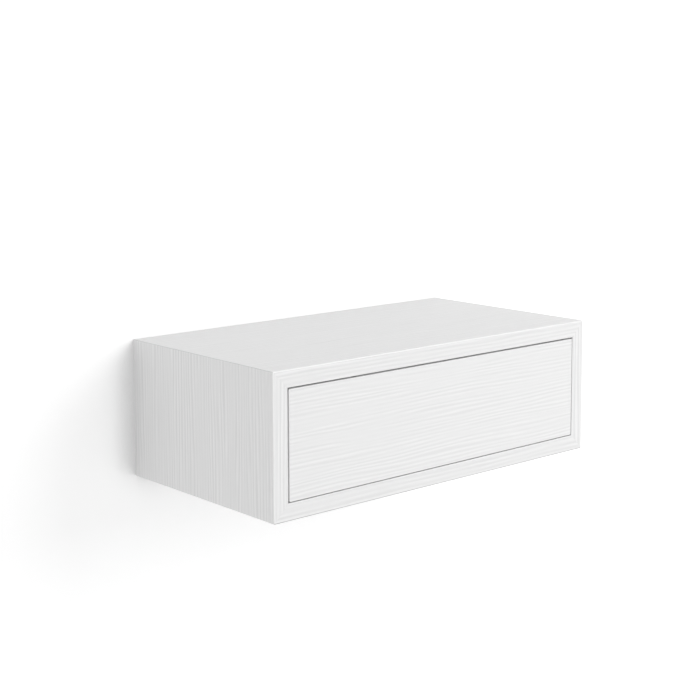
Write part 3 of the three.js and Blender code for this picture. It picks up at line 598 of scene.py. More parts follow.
@dataclass(frozen=True)
class RolledPaint(Finish):
    """Matt pale paint, rolled on the studio's wall and floor.

    The camera sees it white away from shadows. It can't be seen from behind or very near.
    """

    name: str
    own_light: float  # strength that the camera sees on top of the light that falls on it
    in_contact: bool = False  # whether it darkens in its corner with the case
    paint: str = "#fcfcfc"
    shaded_paint: str = "#d2d2d2"
    near: float = 1.5 * MM  # shorter rays pass, so that light reaches the case's rear rim
    contact_reach: float = 52 * MM
    contact_side: Point3 = (0.62, -0.70, 0.35)
    contact_range: Point2 = (0.08, 0.78)  # openness in the corner and where the shade ends
    contact_samples: int = 8

    def contact_shade(self, tree: NodeTree) -> bpy.types.Node:
        """Finds the wall's corner with the case, on the side away from the lamp.

        Args:
            tree: The node tree to add to.

        Returns:
            0 in the corner and 1 a few centimetres away.
        """
        towards_lamp = tree.add("CombineXYZ", self.contact_side)
        inputs = {"Distance": self.contact_reach, "Normal": towards_lamp}
        shade = tree.add("AmbientOcclusion", inputs, samples=self.contact_samples)
        return tree.add("MapRange", (shade.outputs["AO"], *self.contact_range), **SMOOTH)

    def build(self, tree: NodeTree) -> None:
        """Builds the paint.

        Args:
            tree: The node tree to add to.
        """
        path = tree.add("LightPath").outputs
        shine = tree.add("Math", (path["Is Camera Ray"], self.own_light), operation="MULTIPLY")
        paint = self.paint
        if self.in_contact:
            free = self.contact_shade(tree)
            shine = tree.add("Math", (shine, free), operation="MULTIPLY")
            paint = tree.paint(self.shaded_paint, (free, self.paint))
        matt = tree.add("BsdfDiffuse", {"Color": paint})
        lit = tree.add("AddShader", (matt, tree.add("Emission", {"Strength": shine})))
        clear = tree.add("BsdfTransparent")
        behind = tree.add("NewGeometry").outputs["Backfacing"]
        near = tree.add("Math", (path["Ray Length"], self.near), operation="LESS_THAN")
        unseen = tree.add("Math", (behind, near), operation="MAXIMUM")
        tree.add("OutputMaterial", (tree.add("MixShader", (unseen, lit, clear)),))


BIRCH = PlanedWood(
    "planed_birch",
    ("#dcc8a6", "#c9ae83"),
    Noise(Grain.DEEP.stretch(45 * MM, 1.4 * MM), detail=4.0, roughness=0.6),
)
BEECH = PlanedWood(
    "turned_beech",
    ("#d3ae82", "#bd9163"),
    Noise(Grain.ACROSS.stretch(45 * MM, 1 * MM), detail=4.0, roughness=0.6),
)
CAGE_PLASTIC = MouldedPlastic("moulded_acetal", ("#2c2e30", "#35373a"), ior=1.48)
LATCH_PLASTIC = MouldedPlastic(
    "moulded_abs", ("#dcdcda", "#d2d2cf"), gloss=(0.34, 0.46), ior=1.54
)
TIP_RUBBER = MouldedPlastic(
    "moulded_rubber", ("#8b8d8f", "#7f8183"), gloss=(0.62, 0.78), ior=1.52
)


# Meshes


def link_object(name: str, mesh: bmesh.types.BMesh) -> bpy.types.Object:
    """Turns a working mesh into an object of the scene.

    Args:
        name: The object's name.
        mesh: The working mesh, which is freed.

    Returns:
        The new object, at the origin.
    """
    data = bpy.data.meshes.new(name)
    mesh.to_mesh(data)
    mesh.free()
    item = bpy.data.objects.new(name, data)
    bpy.context.scene.collection.objects.link(item)
    return item


def new_object(name: str, mesh: bmesh.types.BMesh) -> bpy.types.Object:
    """Turns a closed working mesh into an object whose faces all look outwards."""
    bmesh.ops.recalc_face_normals(mesh, faces=mesh.faces)
    return link_object(name, mesh)


def loft(rings: Sequence[Sequence[Point3]]) -> bmesh.types.BMesh:
    """Joins rings of corners into one closed skin.

    Args:
        rings: The rings from one end to the other. All have as many corners, apart from
            those that are a single point.

    Returns:
        The closed working mesh.
    """
    mesh = bmesh.new()
    made = [[mesh.verts.new(corner) for corner in ring] for ring in rings]
    for cap in (made[0], made[-1]):
        if len(cap) > 1:
            mesh.faces.new(cap)
    for low, high in zip(made, made[1:]):
        steps = max(len(low), len(high))
        for i in range(steps):
            j = (i + 1) % steps
            corners = [low[i % len(low)], low[j % len(low)], high[j % len(high)], high[i % len(high)]]
            mesh.faces.new(list(dict.fromkeys(corners)))
    return mesh


def prism(outline: Sequence[Point2], front: float, rear: float) -> bmesh.types.BMesh:
    """Draws an outline in X and Z out along Y, from one Y to another."""
    return loft([[(x, y, z) for x, z in outline] for y in (front, rear)])


def around(radius: float, along: float, turn: float) -> Point3:
    """The place at a radius, a Y and a share of a turn round the Y axis."""
    angle = 2 * math.pi * turn
    return (radius * math.cos(angle), along, radius * math.sin(angle))


def lathe(profile: Sequence[Point2], steps: int) -> bmesh.types.BMesh:
    """Turns a profile round the Y axis.

    Args:
        profile: Radius and Y of each corner, from axis to axis.
        steps: Facets round the axis.

    Returns:
        The closed working mesh.
    """
    return loft(
        [
            [around(radius, along, i / steps) for i in range(steps if radius else 1)]
            for radius, along in profile
        ]
    )


def arc(centre: Point2, radius: float, start: float, end: float, steps: int) -> list[Point2]:
    """Points on an arc between two angles in degrees, with both ends and a number of chords."""
    turns = [math.radians(start + (end - start) * i / steps) for i in range(steps + 1)]
    return [(centre[0] + radius * math.cos(a), centre[1] + radius * math.sin(a)) for a in turns]


def rounded_rectangle(width: float, height: float, radius: float, steps: int) -> list[Point2]:
    """The outline of a rectangle with round corners, about the origin.

    Args:
        width: Its size along the first axis.
        height: Its size along the second axis.
        radius: Radius of its corners.
        steps: Chords in each corner.

    Returns:
        The outline, counterclockwise.
    """
    right, top = width / 2 - radius, height / 2 - radius
    centres = [(right, top), (-right, top), (-right, -top), (right, -top)]
    outline = []
    for i, centre in enumerate(centres):
        outline += arc(centre, radius, 90 * i, 90 * i + 90, steps)
    return outline


def round_rims(mesh: bmesh.types.BMesh, radius: float, steps: int) -> None:
    """Rounds the rims of both end faces of a prism.

    Args:
        mesh: The working mesh.
        radius: The rounds' radius.
        steps: Facets in each round.
    """
    bmesh.ops.bevel(
        mesh,
        geom=[edge for edge in mesh.edges if edge.verts[0].co.y == edge.verts[1].co.y],
        offset=radius,
        offset_type="OFFSET",
        segments=steps,
        profile=0.5,
        affect="EDGES",
        clamp_overlap=True,
    )


def carve(target: bpy.types.Object, cutters: Sequence[bpy.types.Object]) -> None:
    """Cuts other objects out of one, and removes them.

    Args:
        target: The object that is cut.
        cutters: What is taken away.
    """
    for cutter in cutters:
        cut = target.modifiers.new("carve", "BOOLEAN")
        cut.operation = "DIFFERENCE"
        cut.solver = "EXACT"
        cut.object = cutter
    bake_modifiers(target)
    for cutter in cutters:
        bpy.data.objects.remove(cutter)


def bake_modifiers(item: bpy.types.Object) -> None:
    """Puts an object's modifiers into its mesh.

    Args:
        item: The object, which has none left afterwards.
    """
    depsgraph = bpy.context.evaluated_depsgraph_get()
    old = item.data
    baked = bpy.data.meshes.new_from_object(item.evaluated_get(depsgraph), depsgraph=depsgraph)
    item.modifiers.clear()
    item.data = baked
    baked.name = old.name
    bpy.data.meshes.remove(old)


def shade(item: bpy.types.Object, crease: float) -> None:
    """Shades rounds smooth, while flat faces stay flat.

    Args:
        item: The object.
        crease: Edges sharper than this stay sharp, in degrees.
    """
    item.data.shade_smooth()
    item.data.set_sharp_from_angle(angle=math.radians(crease))
    weighted = item.modifiers.new("flat_faces", "WEIGHTED_NORMAL")
    weighted.keep_sharp = True
    bake_modifiers(item)


def dress(item: bpy.types.Object, *finishes: Finish) -> None:
    """Gives an object finishes in place of those it had.

    Args:
        item: The object.
        *finishes: Its finishes. The first one covers it.
    """
    item.data.materials.clear()
    for finish in finishes:
        item.data.materials.append(finish.material())


def fix_to(item: bpy.types.Object, node: str) -> None:
    """Fixes a piece to the body of a node, and logs its faces and its body.

    Args:
        item: The piece.
        node: The node that it moves with.
    """
    body = frame["nodes"][node]["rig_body"]
    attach(item, body)
    LOG.info("%s: %d faces on %s", item.name, len(item.data.polygons), body)


def install(
    item: bpy.types.Object,
    node: str,
    finishes: Sequence[Finish],
    crease: float,
    cutters: Sequence[bpy.types.Object] = (),
) -> None:
    """Finishes a piece and puts it in place of its plain node.

    Args:
        item: The piece, already in its place.
        node: The node that it replaces.
        finishes: Its finishes. The first one covers it.
        crease: Edges sharper than this stay sharp, in degrees.
        cutters: What is cut out of it first.
    """
    if cutters:
        carve(item, cutters)
    shade(item, crease)
    dress(item, *finishes)
    fix_to(item, node)
    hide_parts(node)


def place_along(item: bpy.types.Object, origin: Vector, direction: Vector) -> None:
    """Moves an object made about the Y axis, so that its +Y points from a place in a direction."""
    turn = Vector((0, 1, 0)).rotation_difference(direction)
    item.data.transform(Matrix.Translation(origin) @ turn.to_matrix().to_4x4())


def dress_node(name: str, finish: Finish) -> None:
    """Gives a node of the frame its finish."""
    dress(frame["nodes"][name], finish)
    LOG.info("%s: %s", name, finish.name)


# Screws


def cross_recess(width: float, depth: float) -> list[bpy.types.Object]:
    """Makes the two tapered bars that cut a cross recess into a face at Y = 0.

    Args:
        width: Size of the cross.
        depth: How far it goes into -Y.

    Returns:
        The cutters.
    """
    half, half_bar = width / 2, width * RECESS_BAR
    corners = [(-half, -half_bar), (half, -half_bar), (half, half_bar), (-half, half_bar)]
    mouth = [(x, depth * RECESS_RISE, z) for x, z in corners]
    foot = [(x / RECESS_TAPER, -depth, z * RECESS_FOOT) for x, z in corners]
    bars = []
    for quarter in range(2):
        bar = new_object("recess_cutter", loft([mouth, foot]))
        bar.data.transform(Matrix.Rotation(quarter * math.pi / 2, 4, "Y"))
        bars.append(bar)
    return bars


@dataclass(frozen=True)
class CountersunkScrew:
    """A countersunk chipboard screw with a cross recess, along Y with its head face at 0."""

    head: float
    head_height: float
    shank: float
    length: float
    point: float
    pitch: float = 1.6 * MM
    thread_depth: float = 0.45 * MM
    thread_width: float = 0.5  # of the pitch
    levels_in_pitch: int = 4
    rim: float = 0.3 * MM
    recess_reach: float = 0.62  # of the head
    recess_depth: float = 0.8  # of the head's height
    steps: int = 24

    def thread_radius(self, along: float, turn: float) -> float:
        """Radius of the threaded shank at a place.

        Args:
            along: Distance below the head face.
            turn: Share of a turn round the axis.

        Returns:
            The radius, which falls to nothing at the tip.
        """
        phase = (along / self.pitch - turn) % 1.0
        ridge = max(0.0, 1.0 - abs(phase - 0.5) * 2 / self.thread_width)
        core = self.shank / 2 - self.thread_depth
        taper = min(1.0, (self.length - along) / self.point)
        return (core + ridge * self.thread_depth) * taper

    def body(self) -> bmesh.types.BMesh:
        """Builds the head and the helical thread.

        Returns:
            The closed working mesh, pointing towards -Y.
        """
        turns = [i / self.steps for i in range(self.steps)]
        threaded = self.length - self.head_height
        levels = round(threaded / (self.pitch / self.levels_in_pitch))
        depths = [self.head_height + threaded * level / levels for level in range(1, levels)]
        cone = [
            (self.head / 2 - self.rim / 2, 0.0),
            (self.head / 2, self.rim / 2),
            (self.shank / 2 - self.thread_depth, self.head_height),
        ]
        rings = [[around(radius, -depth, turn) for turn in turns] for radius, depth in cone]
        for depth in depths:
            rings.append([around(self.thread_radius(depth, turn), -depth, turn) for turn in turns])
        return loft([*rings, [(0, -self.length, 0)]])

    def build(self, node: str, direction: Vector) -> None:
        """Makes one screw in place of its plain node.

        Args:
            node: The node's name, which also names the piece.
            direction: Where the screw points, along one axis.
        """
        item = new_object(f"{node}_detail", self.body())
        carve(item, cross_recess(self.recess_reach * self.head, self.recess_depth * self.head_height))
        low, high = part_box(node)
        reach = Vector([part * size / 2 for part, size in zip(direction, high - low)])
        place_along(item, (low + high) / 2 - reach, -direction)
        install(item, node, [PlatedScrewSteel()], SCREW_CREASE)


class ScrewKind(Enum):
    """The four sizes of screw in the nightstand."""

    RUNNER = CountersunkScrew(6.4 * MM, 2.2 * MM, 3.4 * MM, 10 * MM, 2 * MM)
    LATCH = CountersunkScrew(6.8 * MM, 2.4 * MM, 3.5 * MM, 15 * MM, 3 * MM)
    DRAWER = CountersunkScrew(7.6 * MM, 2.8 * MM, 4 * MM, 34 * MM, 4 * MM)
    BOTTOM = CountersunkScrew(6 * MM, 2 * MM, 3 * MM, 20 * MM, 3 * MM)


# Sub-assemblies


# What sits in each board of the case.
HELD_BY = {
    "top_panel": [f"corner_spline_top_{side.word}" for side in Side],
    "bottom_panel": [
        f"{kind}_{side.word}" for kind in ("corner_spline_bottom", "latch_screw") for side in Side
    ],
} | {
    f"{side.word}_side_panel": [
        f"corner_spline_top_{side.word}",
        f"corner_spline_bottom_{side.word}",
        f"back_dowel_{side.word}_upper",
        f"back_dowel_{side.word}_lower",
        f"{side.word}_cabinet_runner_screw_front",
        f"{side.word}_cabinet_runner_screw_rear",
    ]
    for side in Side
}


def room_for(node: str, play: float) -> bpy.types.Object:
    """Makes a cutter round a node: a slot for a mitre's tongue and a bore for a round piece.

    Args:
        node: The node's name.
        play: Room left round it.

    Returns:
        The cutter.
    """
    if "spline" not in node:
        low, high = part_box(node)
        size = high - low
        longest = max(range(3), key=lambda axis: size[axis])
        radius, half = min(size) / 2 + play, size[longest] / 2 + play
        bore = lathe([(0, -half), (radius, -half), (radius, half), (0, half)], BORE_STEPS)
        item = new_object("room_cutter", bore)
        place_along(item, (low + high) / 2, Vector([float(axis == longest) for axis in range(3)]))
        return item
    tongue = frame["nodes"][node]
    slant = Matrix.Rotation(math.pi / 4, 4, "Y")  # a tongue lies square to its mitre
    level = slant.inverted() @ tongue.matrix_world
    corners = [level @ vert.co for vert in tongue.data.vertices]
    low, high = (Vector([pick(c[axis] for c in corners) for axis in range(3)]) for pick in (min, max))
    room = Matrix.Diagonal([*(extent + 2 * play for extent in high - low), 1])
    mesh = bmesh.new()
    bmesh.ops.create_cube(mesh, size=1)
    item = new_object("slot_cutter", mesh)
    item.data.transform(slant @ Matrix.Translation((low + high) / 2) @ room)
    return item


@dataclass
class MitredCase:
    """Four boards mitred into a ring, with loose tongues in the mitres and a dowelled back."""

    board: float = BOARD
    corner_radius: float = 1.2 * MM
    arris: float = 1.1 * MM
    inner_arris: float = 0.4 * MM
    arris_steps: int = 6
    glue_line: float = 0.03 * MM
    play: float = 0.1 * MM
    corner_steps: int = 4
    rib_spacing: float = 4.9 * MM  # a little wider than on the drawer's front
    # painted shade in the hollows of the grain, a little deeper on the case
    hollow: str = "#e5e5e5"
    # painted shade on the lower front arris, which faces down, away from the lamp
    band_joint: str = "#929292"
    joint_lean: Point2 = (0.1, 0.3)  # least lean of its faces outwards and down

    def rim(self, length: float, level: float, front: bool) -> list[list[Point3]]:
        """The rounds between a board's front or rear face and its sides, but not its mitres.

        Args:
            length: The board's outer length, before the glue line.
            level: Height of its outer face above the middle of the case.
            front: Whether this is the front, where the outer edge has the wider round.

        Returns:
            Rings of corners from the face to the sides, each between the two mitre planes.
        """
        face, inwards = (CAD_BOX[0].y, 1) if front else (CAD_BOX[1].y, -1)
        arris = self.arris if front else self.inner_arris
        end = length / 2 - self.glue_line / math.sqrt(2)  # half the joint, along the board
        centre = (end - self.corner_radius, level - self.corner_radius)
        rings = []
        for i in range(self.arris_steps + 1):
            angle = math.pi / 2 * i / self.arris_steps
            inset, depth = 1 - math.sin(angle), inwards * (1 - math.cos(angle))
            right = arc(centre, self.corner_radius - arris * inset, 45, 90, self.corner_steps)
            outer = [*right, *((-x, z) for x, z in reversed(right))]
            inner_end = end - self.board + self.inner_arris * inset
            inner_level = level - self.board + self.inner_arris * inset
            inner_y = face + self.inner_arris * depth
            rings.append(
                [(x, inner_y, inner_level) for x in (-inner_end, inner_end)]
                + [(x, face + arris * depth, z) for x, z in outer]
            )
        return rings

    def build_board(
        self,
        node: str,
        length: float,
        across: float,
        quarter_turns: int,
        finish: PressedAshLaminate,
    ) -> bpy.types.Object:
        """Makes one board in place of its plain node.

        Args:
            node: The node's name.
            length: The board's outer length.
            across: The ring's size from this board's outer face to the opposite one.
            quarter_turns: Clockwise turns from the top to the board's side, seen from the room.
            finish: The board's laminate.

        Returns:
            The board.
        """
        front, rear = (self.rim(length, across / 2, front) for front in (True, False))
        item = new_object(f"{node}_detail", loft([*front, *reversed(rear)]))
        item.data.transform(Matrix.Rotation(quarter_turns * math.pi / 2, 4, "Y"))
        rooms = [room_for(held, self.play) for held in HELD_BY[node]]
        install(item, node, [finish], BOARD_CREASE, rooms)
        return item

    def show_band_joint(self, board: bpy.types.Object, finish: PressedAshLaminate) -> None:
        """Paints shade on the arris under the front, which faces down and away from the lamp.

        Args:
            board: The board at the bottom.
            finish: Its laminate.
        """
        dark = self.band_joint
        board.data.materials.append(replace(finish, face=dark, hollow=dark, rubbed=dark).material())
        for face in board.data.polygons:
            lean_out, lean_down = -face.normal.y, -face.normal.z
            face.material_index = int(lean_out > self.joint_lean[0] and lean_down > self.joint_lean[1])

    def build(self) -> None:
        """Builds the boards and dresses what they hold."""
        size = CAD_BOX[1] - CAD_BOX[0]
        across = PressedAshLaminate(Grain.ACROSS, hollow=self.hollow, rib_spacing=self.rib_spacing)
        upright = replace(across, grain=Grain.UPRIGHT)
        self.build_board("top_panel", size.x, size.z, 0, across)
        below = replace(across, offset=7.0)
        bottom = self.build_board("bottom_panel", size.x, size.z, 2, below)
        self.show_band_joint(bottom, below)
        self.build_board("left_side_panel", size.z, size.x, -1, replace(upright, offset=3.0))
        self.build_board("right_side_panel", size.z, size.x, 1, replace(upright, offset=11.0))
        dress_node("back_panel", FoilWrappedBoard())
        for name in frame["nodes"]:
            if name.startswith("corner_spline_"):
                dress_node(name, BIRCH)
            if name.startswith("back_dowel_"):
                dress_node(name, BEECH)


@dataclass
class BallRunner:
    """A full-extension ball-bearing runner of three rolled members with two ball cages.

    Places in its section are depths from the case side and heights above its middle.
    """

    side: Side
    outer_ball: Point2 = (4.5 * MM, 14.85 * MM)
    row_distance: float = 4.3 * MM
    row_swing: float = math.radians(25)
    ball_radius: float = 1.51 * MM
    balls_per_row: int = 6
    ball_steps: int = 16

    def build_balls(self, layer: str, centre: Point2) -> None:
        """Makes the steel balls of one cage.

        Args:
            layer: The cage's place in its name, outer or inner.
            centre: Where its balls run in the section.
        """
        node = f"{self.side.word}_{layer}_ball_cage"
        low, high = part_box(node)
        pitch = (high.y - low.y) / self.balls_per_row
        across = self.side.value * (CAD_BOX[1].x - BOARD - centre[0])
        mesh = bmesh.new()
        for i in range(self.balls_per_row):
            for level in (centre[1], -centre[1]):
                bmesh.ops.create_uvsphere(
                    mesh,
                    u_segments=self.ball_steps,
                    v_segments=self.ball_steps // 2,
                    radius=self.ball_radius,
                    matrix=Matrix.Translation((across, low.y + (i + 0.5) * pitch, level)),
                )
        item = new_object(f"{self.side.word}_{layer}_balls", mesh)
        item.data.shade_smooth()
        dress(item, PolishedBallSteel())
        fix_to(item, node)

    def build(self) -> None:
        """Dresses the members and makes the screws and the balls."""
        word = self.side.word
        for member in ("cabinet", "middle", "drawer"):
            dress_node(f"{word}_{member}_runner", RolledZincSteel())
        swing = self.row_swing
        inner_ball = (
            self.outer_ball[0] + self.row_distance * math.sin(swing),
            self.outer_ball[1] - self.row_distance * math.cos(swing),
        )
        for layer, centre in (("outer", self.outer_ball), ("inner", inner_ball)):
            dress_node(f"{word}_{layer}_ball_cage", CAGE_PLASTIC)
            self.build_balls(layer, centre)
        outwards = Vector((self.side.value, 0, 0))
        for member, direction in (("cabinet", outwards), ("drawer", -outwards)):
            for end in ("front", "rear"):
                node = f"{word}_{member}_runner_screw_{end}"
                ScrewKind.RUNNER.value.build(node, direction)


@dataclass
class PushLatch:
    """A sprung push latch on the case floor, with a soft tip behind the drawer front."""

    neck: float = 2 * MM  # radius of the pin's end inside the tip
    neck_length: float = 3 * MM
    pin_edge: float = 0.5 * MM
    tip_edge: float = 1.5 * MM
    seat: float = 0.1 * MM
    steps: int = 40
    pin_edge_steps: int = 3
    tip_edge_steps: int = 6

    def build_turned(
        self, node: str, profile: Sequence[Point2], finish: MouldedPlastic
    ) -> None:
        """Makes a round part on the latch's axis, in place of its plain node.

        Args:
            node: The node's name.
            profile: Radius and distance from the node's front of each corner.
            finish: Its plastic.
        """
        low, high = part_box(node)
        item = new_object(f"{node}_detail", lathe(profile, self.steps))
        middle = (low + high) / 2
        item.data.transform(Matrix.Translation((middle.x, low.y, middle.z)))
        install(item, node, [finish], TURNED_CREASE)

    def tip_profile(self, radius: float, length: float) -> list[Point2]:
        """Outline of the rubber tip, a domed button with a socket for the pin.

        Args:
            radius: The tip's radius.
            length: Its length.

        Returns:
            Radius and distance from the front of each corner.
        """
        edge, hole = self.tip_edge, self.neck + self.seat
        depth = length - self.neck_length - self.seat
        front = arc((radius - edge, edge), edge, -90, 0, self.tip_edge_steps)
        return [(0, 0), *front, (radius, length), (hole, length), (hole, depth), (0, depth)]

    def build(self) -> None:
        """Dresses the latch, turns its pin and tip and makes its screws."""
        dress_node("latch_housing", LATCH_PLASTIC)
        low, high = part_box("latch_plunger")
        radius, length = (high.x - low.x) / 2, high.y - low.y
        edge, neck = self.pin_edge, self.neck_length
        pin = [
            (0, 0),
            (self.neck, 0),
            (self.neck, neck),
            *arc((radius - edge, neck + edge), edge, -90, 0, self.pin_edge_steps),
            (radius, length),
            (0, length),
        ]
        self.build_turned("latch_plunger", pin, LATCH_PLASTIC)
        low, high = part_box("latch_tip")
        tip = self.tip_profile((high.x - low.x) / 2, high.y - low.y)
        self.build_turned("latch_tip", tip, TIP_RUBBER)
        for side in Side:
            node = f"latch_screw_{side.word}"
            ScrewKind.LATCH.value.build(node, Vector((0, 0, -1)))


@dataclass
class Drawer:
    """A grooved drawer box behind a plain front, drawn together with cam fittings."""

    arris: float = 0.4 * MM
    corner_radius: float = 1.2 * MM
    round_steps: int = 4
    band_lean: float = 0.7  # least sideways lean of the faces that the end bands cover
    trim: Point2 = (-0.15 * MM, 0.15 * MM)  # how far the front's size is off the drawing
    hang: Point2 = (0.3 * MM, -0.3 * MM)  # the play in its fittings, taken up in X and Z
    groove_depth: float = 6 * MM
    groove_play: float = 0.15 * MM
    cam_rim: float = 0.4 * MM
    cam_rim_steps: int = 3
    cam_cross: float = 0.7  # of the cam's diameter
    cam_cross_depth: float = 0.27  # of the cam's depth
    cam_steps: int = 40

    def build_front(self, finish: PressedAshLaminate, band: PressedAshLaminate) -> None:
        """Makes the front with the groove for the bottom.

        Args:
            finish: The front's laminate.
            band: The laminate of the edge bands at its ends.
        """
        low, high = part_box("drawer_front")
        width, height = high.x - low.x + self.trim[0], high.z - low.z + self.trim[1]
        square = rounded_rectangle(width, height, self.corner_radius, self.round_steps)
        outline = [(x + self.hang[0], z + self.hang[1]) for x, z in square]
        mesh = prism(outline, low.y, high.y)
        round_rims(mesh, self.arris, self.round_steps)
        item = new_object("drawer_front_detail", mesh)
        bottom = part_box("drawer_bottom")
        left, below = (bottom[0][axis] - self.groove_play for axis in (0, 2))
        right, above = (bottom[1][axis] + self.groove_play for axis in (0, 2))
        section = [(left, below), (right, below), (right, above), (left, above)]
        groove = prism(section, high.y - self.groove_depth, high.y + self.groove_depth)
        cutters = [new_object("groove_cutter", groove)]
        install(item, "drawer_front", [finish, band], BOARD_CREASE, cutters)
        for face in item.data.polygons:
            face.material_index = int(abs(face.normal.x) > self.band_lean)

    def build_cam(self, place: str, outwards: Vector) -> None:
        """Makes one cam with its cross slot, its rim and the room for its bolt.

        Args:
            place: The side and level in the node's name.
            outwards: Where its slotted face points.
        """
        node = f"front_cam_{place}"
        low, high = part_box(node)
        radius = (high.y - low.y) / 2
        depth = high.x - low.x
        rim = self.cam_rim
        groove = radius - 2 * rim
        profile = [
            (0, -depth),
            (radius - rim, -depth),
            (radius, rim - depth),
            (radius, -rim),
            *arc((radius - rim, -rim), rim, 0, 90, self.cam_rim_steps),
            (groove, 0),
            (groove - rim / 2, -rim / 2),
            (groove - rim, 0),
            (0, 0),
        ]
        item = new_object(f"{node}_detail", lathe(profile, self.cam_steps))
        cutters = cross_recess(self.cam_cross * 2 * radius, self.cam_cross_depth * depth)
        place_along(item, Vector(), outwards)
        for cutter in cutters:
            place_along(cutter, Vector(), outwards)
        face = (low + high) / 2 + outwards * depth / 2
        for part in (item, *cutters):
            part.data.transform(Matrix.Translation(face))
        cutters.append(room_for(f"front_bolt_{place}", self.groove_play))
        install(item, node, [DieCastZinc()], TURNED_CREASE, cutters)

    def build(self) -> None:
        """Builds the front and the fittings, and dresses the box."""
        face = PressedAshLaminate(Grain.ACROSS, offset=19.0)
        self.build_front(face, PressedAshLaminate(Grain.UPRIGHT, offset=23.0))
        for name in ("drawer_left_side", "drawer_right_side", "drawer_back"):
            dress_node(name, FoilWrappedBoard())
        dress_node("drawer_bottom", PaintedHardboard())
        for side in Side:
            inwards = Vector((-side.value, 0, 0))
            for level in ("lower", "upper"):
                self.build_cam(f"{side.word}_{level}", inwards)
                dress_node(f"front_bolt_{side.word}_{level}", RolledZincSteel())
                ScrewKind.DRAWER.value.build(f"drawer_back_screw_{side.word}_{level}", inwards)
            ScrewKind.BOTTOM.value.build(f"drawer_bottom_screw_{side.word}", Vector((0, 0, 1)))


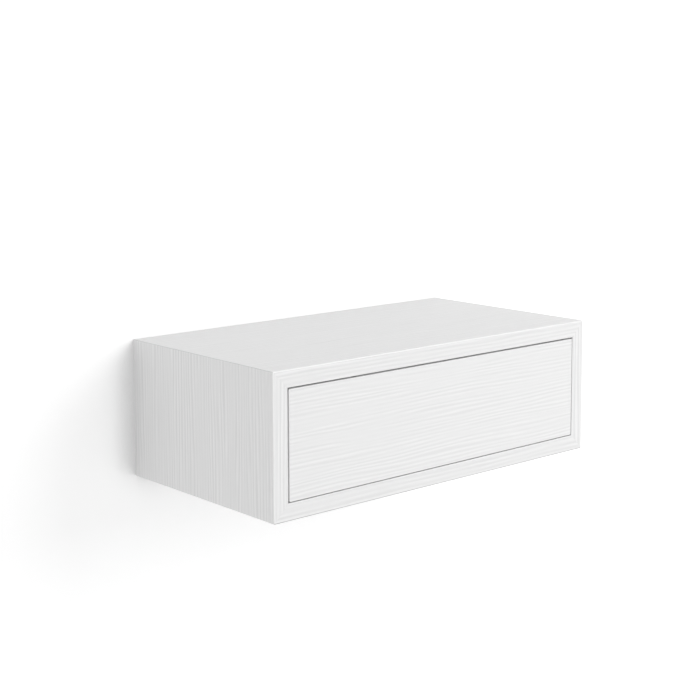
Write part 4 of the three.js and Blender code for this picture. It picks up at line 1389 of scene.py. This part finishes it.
@dataclass
class Studio:
    """The camera of the photograph, soft light, and the pale wall and floor."""

    picture: float = 700.0  # pixels along each side of the photograph
    focal_length: float = 1507.7  # pixels
    centre: Point2 = (350.0, 250.5)  # where the camera's axis meets the picture, in pixels
    camera_place: Point3 = (-1.1167, -1.3723, 0.3621)
    azimuth: float = 41.18
    descent: float = 6.69
    roll: float = -0.16
    sensor: float = 36.0
    ambient: float = 0.71
    floor_level: float = -0.50
    floor_gap: float = 0.10
    wall_gap: float = 0.4 * MM
    wall_overlap: float = 3 * MM  # how far the wall goes in behind the case
    wall_light: float = 0.18
    floor_light: float = 0.45
    wall_reach: float = 1.3  # beyond it the wall would turn grey, so the white world shows
    floor_reach: float = 6.0
    lamp_place: Point3 = (1.35, -2.5, 1.05)
    lamp_power: float = 23.0  # watts
    lamp_width: float = 1.5

    def build_camera(self) -> None:
        """Sets the camera up as it stood for the photograph."""
        data = bpy.data.cameras.new("camera")
        data.sensor_width = self.sensor
        data.lens = self.focal_length / self.picture * self.sensor
        data.shift_x = (self.picture / 2 - self.centre[0]) / self.picture
        data.shift_y = (self.centre[1] - self.picture / 2) / self.picture
        data.dof.use_dof = False
        camera = bpy.data.objects.new("camera", data)
        turn, drop = math.radians(self.azimuth), math.radians(self.descent)
        ahead = Vector(
            (math.sin(turn) * math.cos(drop), math.cos(turn) * math.cos(drop), -math.sin(drop))
        )
        level = ahead.to_track_quat("-Z", "Y")
        camera.rotation_mode = "QUATERNION"
        camera.rotation_quaternion = level @ Quaternion((0, 0, 1), math.radians(self.roll))
        camera.location = self.camera_place
        bpy.context.scene.collection.objects.link(camera)
        bpy.context.scene.camera = camera

    def build_world(self) -> None:
        """Makes a world that is white to look at and lights the object more softly."""
        world = bpy.data.worlds.new("studio")
        tree = NodeTree(world)
        path = tree.add("LightPath").outputs
        seen = path["Is Camera Ray"]
        for kind in ("Is Glossy Ray", "Is Transmission Ray"):
            seen = tree.add("Math", (seen, path[kind]), operation="MAXIMUM")
        lighting, white = (
            tree.add("Background", ("#ffffff", strength)) for strength in (self.ambient, 1.0)
        )
        tree.add("OutputWorld", (tree.add("MixShader", (seen, lighting, white)),))
        bpy.context.scene.world = world

    def stage_piece(
        self, name: str, faces: Sequence[Sequence[Point3]], finish: RolledPaint
    ) -> None:
        """Makes a flat piece of the backdrop.

        Args:
            name: The piece's name.
            faces: The corners of each face.
            finish: Its paint.
        """
        mesh = bmesh.new()
        for corners in faces:
            mesh.faces.new([mesh.verts.new(corner) for corner in corners])
        item = link_object(name, mesh)
        dress(item, finish)

    def build_wall(self) -> None:
        """Makes the wall round the case, open behind it so that light reaches its back."""
        low, high = CAD_BOX
        inset, reach = self.wall_overlap, self.wall_reach
        foot = self.floor_level - self.floor_gap
        left, right = low.x + inset, high.x - inset
        below, above = low.z + inset, high.z - inset
        inner = [(left, below), (right, below), (right, above), (left, above)]
        outer = [(-reach, foot), (reach, foot), (reach, reach), (-reach, reach)]
        faces = []
        for i in range(4):
            j = (i + 1) % 4
            corners = (outer[i], outer[j], inner[j], inner[i])
            faces.append([(x, high.y + self.wall_gap, z) for x, z in corners])
        self.stage_piece("wall", faces, RolledPaint("wall_paint", self.wall_light, in_contact=True))

    def build_floor(self) -> None:
        """Makes the plain pale floor."""
        reach, gap = self.floor_reach, self.floor_gap
        corners = [(-reach, -reach), (reach, -reach), (reach, -gap), (-reach, -gap)]
        face = [(x, y, self.floor_level) for x, y in corners]
        self.stage_piece("floor", [face], RolledPaint("floor_paint", self.floor_light))

    def build_lamp(self) -> None:
        """Hangs a soft square lamp that faces the nightstand."""
        data = bpy.data.lights.new("key_lamp", "AREA")
        data.energy = self.lamp_power
        data.shape = "SQUARE"
        data.size = self.lamp_width
        lamp = bpy.data.objects.new("key_lamp", data)
        lamp.location = self.lamp_place
        ahead = (CAD_BOX[0] + CAD_BOX[1]) / 2 - Vector(self.lamp_place)
        lamp.rotation_mode = "QUATERNION"
        lamp.rotation_quaternion = ahead.to_track_quat("-Z", "Y")
        bpy.context.scene.collection.objects.link(lamp)

    def build(self) -> None:
        """Sets up the whole studio."""
        self.build_camera()
        self.build_world()
        self.build_wall()
        self.build_floor()
        self.build_lamp()
        bpy.context.scene.view_settings.view_transform = "Standard"


def main() -> None:
    """Builds the nightstand and the studio round it."""
    logging.basicConfig(level=logging.INFO, format="%(message)s")
    MitredCase().build()
    Drawer().build()
    for side in Side:
        BallRunner(side).build()
    PushLatch().build()
    Studio().build()


if __name__ == "__main__":
    main()
